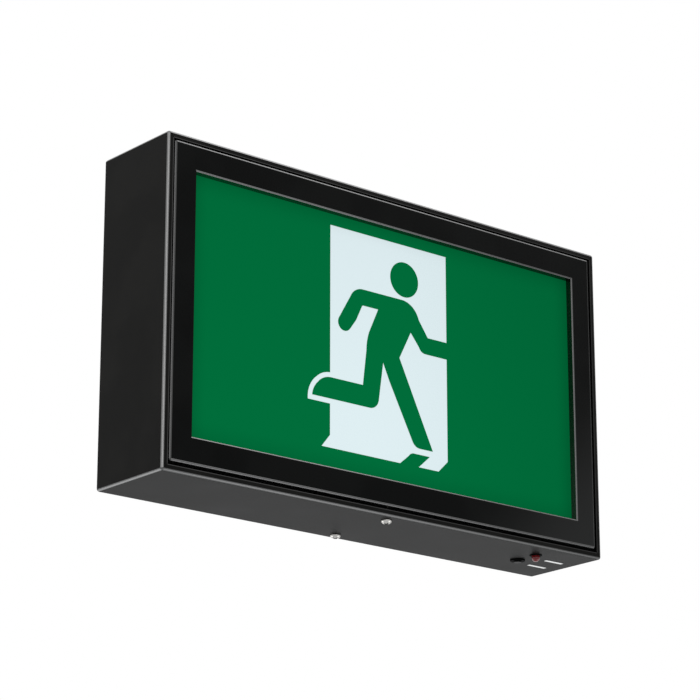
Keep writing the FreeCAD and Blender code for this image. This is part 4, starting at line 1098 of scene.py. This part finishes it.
# %% Ring nut
KNURLS = 18
KNURL_RADIUS = 0.35 * MM
NUT_STEPS = 4 * KNURLS
ring_low, ring_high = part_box("switch_ring_nut")
nut_middle = middle_of("switch_ring_nut")
nut_radius = (ring_high.x - ring_low.x) / 2
nut_thick = ring_high.z - ring_low.z
nut_profile = [
    (SWITCH_HOLE, nut_thick),
    (SWITCH_HOLE, 0),
    (nut_radius, 0),
    (nut_radius, nut_thick),
    (SWITCH_HOLE, nut_thick),
]
foot = Vector((nut_middle.x, nut_middle.y, ring_low.z))
nut = turned("knurled_ring_nut", foot, rounded(nut_profile, 2, SOFT, 3), NUT_STEPS)
notch = rod("notch", foot + Vector((nut_radius, 0, -nut_thick)), KNURL_RADIUS, 3 * nut_thick)
notches = []
for step in range(1, KNURLS):
    angle = 2 * math.pi * step / KNURLS
    shift = Vector((math.cos(angle) - 1, math.sin(angle), 0)) * nut_radius
    notches.append(copied(notch, shift))
weld(notch, notches)
carve(nut, [notch])
hand_over(nut, nut_black, ["switch_ring_nut"])

# %% [markdown]
# ### The button
# The button is a round stem with a flange, which stops it from falling out of the nut. Its tip
# has a rounded edge. It rides on the button body, so that it moves when the joint does.

# %% Button
STEM = 2.5 * MM
FLANGE_THICK = 1.0 * MM
TIP_SOFT = 0.5 * MM
button_low, button_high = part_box("test_button")
button_middle = middle_of("test_button")
flange_radius = (button_high.x - button_low.x) / 2
button_length = button_high.z - button_low.z
button_profile = [
    (0, 0),
    (STEM, 0),
    (STEM, button_length - FLANGE_THICK),
    (flange_radius, button_length - FLANGE_THICK),
    (flange_radius, button_length),
    (0, button_length),
]
foot = (button_middle.x, button_middle.y, button_low.z)
button = turned("push_button", foot, rounded(button_profile, 1, TIP_SOFT, 5))
hand_over(button, button_black, ["test_button"], "button")

# %% [markdown]
# ### The return spring
# A ring of points, as wide as the wire, is wound up along the axis by the Screw modifier. The
# spring is set on no body.

# %% Wind the spring
WIRE = 0.25 * MM
TURNS = 3.5
WIRE_SIDES = 12
STEPS = 112
spring_low, spring_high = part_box("button_spring")
spring_middle = middle_of("button_spring")
coil_radius = (spring_high.x - spring_low.x) / 2 - WIRE
rise = spring_high.z - spring_low.z - 2 * WIRE
use(None)
bpy.ops.mesh.primitive_circle_add(
    vertices=WIRE_SIDES, radius=WIRE, location=(coil_radius, 0, 0), rotation=FORWARD
)
bpy.ops.object.transform_apply(location=True, rotation=True, scale=True)
spring = bpy.context.object
spring.name = "wound_spring"
sweep = 2 * math.pi * TURNS
apply_modifier(spring, "SCREW", angle=sweep, screw_offset=rise, steps=STEPS, render_steps=STEPS)
bpy.ops.object.mode_set(mode="EDIT")
bpy.ops.mesh.select_all(action="SELECT")
bpy.ops.mesh.fill_holes(sides=0)
bpy.ops.mesh.select_all(action="SELECT")
bpy.ops.mesh.normals_make_consistent(inside=False)
bpy.ops.object.mode_set(mode="OBJECT")
spring.location = (spring_middle.x, spring_middle.y, spring_low.z + WIRE)
bpy.ops.object.transform_apply(location=True, rotation=True, scale=True)
hand_over(spring, spring_steel, ["button_spring"], None)
foot = (spring_middle.x, spring_middle.y, spring_low.z)
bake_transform(spring)

# %% [markdown]
# ## The pilot lamp
# The lamp is a small round-headed epoxy body: a half ball, a barrel and a flange. All of it is one
# turned profile, so the dome runs into the barrel without a seam.

# %% Lamp
LAMP_RADIUS = 2.5 * MM
LAMP_FLANGE = 1.0 * MM
DOME_ANGLES = 10
lamp_low, lamp_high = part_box("pilot_lamp")
lamp_middle = middle_of("pilot_lamp")
lamp_flange = (lamp_high.x - lamp_low.x) / 2
lamp_length = lamp_high.z - lamp_low.z
lamp_profile = []
for step in range(DOME_ANGLES + 1):
    angle = math.pi / 2 * step / DOME_ANGLES
    lamp_profile.append((LAMP_RADIUS * math.sin(angle), LAMP_RADIUS * (1 - math.cos(angle))))
lamp_profile += [
    (LAMP_RADIUS, lamp_length - LAMP_FLANGE),
    (lamp_flange, lamp_length - LAMP_FLANGE),
    (lamp_flange, lamp_length),
    (0, lamp_length),
]
lamp = turned("lamp_dome", (lamp_middle.x, lamp_middle.y, lamp_low.z), lamp_profile)
hand_over(lamp, red_epoxy, ["pilot_lamp"])

# %% [markdown]
# ### The lamp's holder
# The lamp sits in a black plastic holder that is pushed in from outside. A thin ring stays
# outside, and a catch springs out behind the sheet, so the profile is wide, narrow and wide again.

# %% Lamp holder
RING_THICK = 0.5 * MM
BARREL_RADIUS = 3.25 * MM
BORE_RADIUS = 2.55 * MM
CATCH_LENGTH = 0.8 * MM
holder_low, holder_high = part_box("lamp_holder")
holder_radius = (holder_high.x - holder_low.x) / 2
holder_height = holder_high.z - holder_low.z
catch_foot = house_low.z + SHEET - holder_low.z
holder_profile = [
    (BORE_RADIUS, holder_height),
    (BORE_RADIUS, 0),
    (holder_radius, 0),
    (holder_radius, RING_THICK),
    (BARREL_RADIUS, RING_THICK),
    (BARREL_RADIUS, catch_foot),
    (holder_radius, catch_foot),
    (holder_radius, catch_foot + CATCH_LENGTH),
    (BARREL_RADIUS, holder_height),
    (BORE_RADIUS, holder_height),
]
foot = (lamp_middle.x, lamp_middle.y, holder_low.z)
holder = turned("snap_holder", foot, rounded(holder_profile, 2, SOFT))
hand_over(holder, switch_black, ["lamp_holder"])

# %% [markdown]
# ## The cable bush
# A nylon bush lines the cable's hole in the back plate, so that the sheet can't cut the cable. It
# is turned about an axis that runs from the wall to the front. Its flange and its inner end are
# rounded, because a cable lies against them.

# %% Cable bush
BUSH_BORE = 6.5 * MM
BUSH_BARREL = 7.95 * MM
BUSH_FLANGE = 1.6 * MM
END_SOFT = 0.6 * MM
FLANGE_SOFT = 0.5 * MM
BUSH_STEPS = 64
bush_low, bush_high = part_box("cable_bush")
bush_radius = (bush_high.x - bush_low.x) / 2
bush_length = bush_high.y - bush_low.y
bush_profile = [
    (BUSH_BORE, 0),
    (BUSH_BARREL, 0),
    (BUSH_BARREL, SHEET),
    (bush_radius, SHEET),
    (bush_radius, SHEET + BUSH_FLANGE),
    (BUSH_BARREL, SHEET + BUSH_FLANGE),
    (BUSH_BARREL, bush_length),
    (BUSH_BORE, bush_length),
    (BUSH_BORE, 0),
]
bush_profile = rounded(bush_profile, 7, END_SOFT)
bush_profile = rounded(bush_profile, 4, FLANGE_SOFT)
bush = turned("open_bush", (0, bush_high.y, 0), bush_profile, BUSH_STEPS, FORWARD)
hand_over(bush, bush_nylon, ["cable_bush"])

# %% [markdown]
# ## The studio
# The world is white where the camera, a gloss or a clear piece looks at it, and gives a plain
# level of light to the rest. A Light Path node tells the rays apart, so that the white shows
# behind the sign and in its gloss, and the level of light is set by itself.

# %% World
DAYLIGHT = 0.62
SKIES = [((0.96, 0.98, 1, 1), DAYLIGHT), (WHITE, 1.0)]
world = bpy.data.worlds.new("studio")
bpy.context.scene.world = world
world.use_nodes = True
tree = world.node_tree
tree.nodes.clear()
rays = tree.nodes.new("ShaderNodeLightPath")
seen = rays.outputs["Is Camera Ray"]
for ray in ("Is Glossy Ray", "Is Transmission Ray"):
    either = tree.nodes.new("ShaderNodeMath")
    either.operation = "MAXIMUM"
    tree.links.new(seen, either.inputs[0])
    tree.links.new(rays.outputs[ray], either.inputs[1])
    seen = either.outputs[0]
mix = tree.nodes.new("ShaderNodeMixShader")
tree.links.new(seen, mix.inputs[0])
for slot, (colour, strength) in enumerate(SKIES, start=1):
    sky = tree.nodes.new("ShaderNodeBackground")
    sky.inputs["Color"].default_value = colour
    sky.inputs["Strength"].default_value = strength
    tree.links.new(sky.outputs[0], mix.inputs[slot])
out = tree.nodes.new("ShaderNodeOutputWorld")
tree.links.new(mix.outputs[0], out.inputs[0])
print("daylight", DAYLIGHT)

# %% [markdown]
# ### The floor
# The floor is plain and pale, and lies far below a sign that hangs on a wall. The camera looks up
# and doesn't see it, but it sends light back to the bottom of the box.

# %% Floor
FLOOR_LEVEL = -1.7
FLOOR_SIZE = 30
use(None)
bpy.ops.mesh.primitive_plane_add(size=FLOOR_SIZE, location=(0, 0, FLOOR_LEVEL))
floor = bpy.context.object
floor.name = "floor"
floor_paint = Finish("floor_paint", Roughness=0.9, Specular_IOR_Level=0.1)
patches = floor_paint.noise(3, 3)
floor_paint.feed("Base Color", floor_paint.between(patches, (0.8, 0.8, 0.8), (0.84, 0.84, 0.84)))
floor.data.materials.append(floor_paint.material)
print("floor at", FLOOR_LEVEL)

# %% [markdown]
# ### The soft lamps
# Black paint shows what it mirrors and little else. Four large square lamps stand where the bends
# mirror them to the camera, so that each fold carries a line of light. A fifth stands low behind
# the wall side, where the bottom face mirrors it. Each one's brightness is given as the glare of
# its face, and its power follows from its size.


# %% Soft lamps
def softbox(name, direction, distance, size, glare):
    """A square lamp that faces the sign from a direction, with a brightness of its own."""
    light = bpy.data.lights.new(name, "AREA")
    light.shape = "SQUARE"
    light.size = size
    light.energy = glare * math.pi * size**2
    lamp = bpy.data.objects.new(name, light)
    bpy.context.scene.collection.objects.link(lamp)
    away = Vector(direction).normalized()
    lamp.location = away * distance
    lamp.rotation_euler = (-away).to_track_quat("-Z", "Y").to_euler()
    lamp.visible_camera = False


softbox("front_left", (-0.72, -0.66, 0.3), 1.6, 0.9, 1.2)
softbox("below_right", (0.61, -0.32, -0.73), 1.4, 0.8, 1.0)
softbox("below_left", (-0.3, 0.73, -0.61), 1.4, 0.8, 1.2)
softbox("above_right", (0.61, -0.28, 0.74), 1.5, 1.0, 1.4)
softbox("behind", (0.61, 0.73, -0.3), 1.5, 1.0, 0.45)
print("soft lamps", len(bpy.data.lights))

# %% [markdown]
# ## Level
# The colours are written as they should be seen, so the view is plain.

# %% Finish
bpy.context.scene.view_settings.view_transform = "Standard"
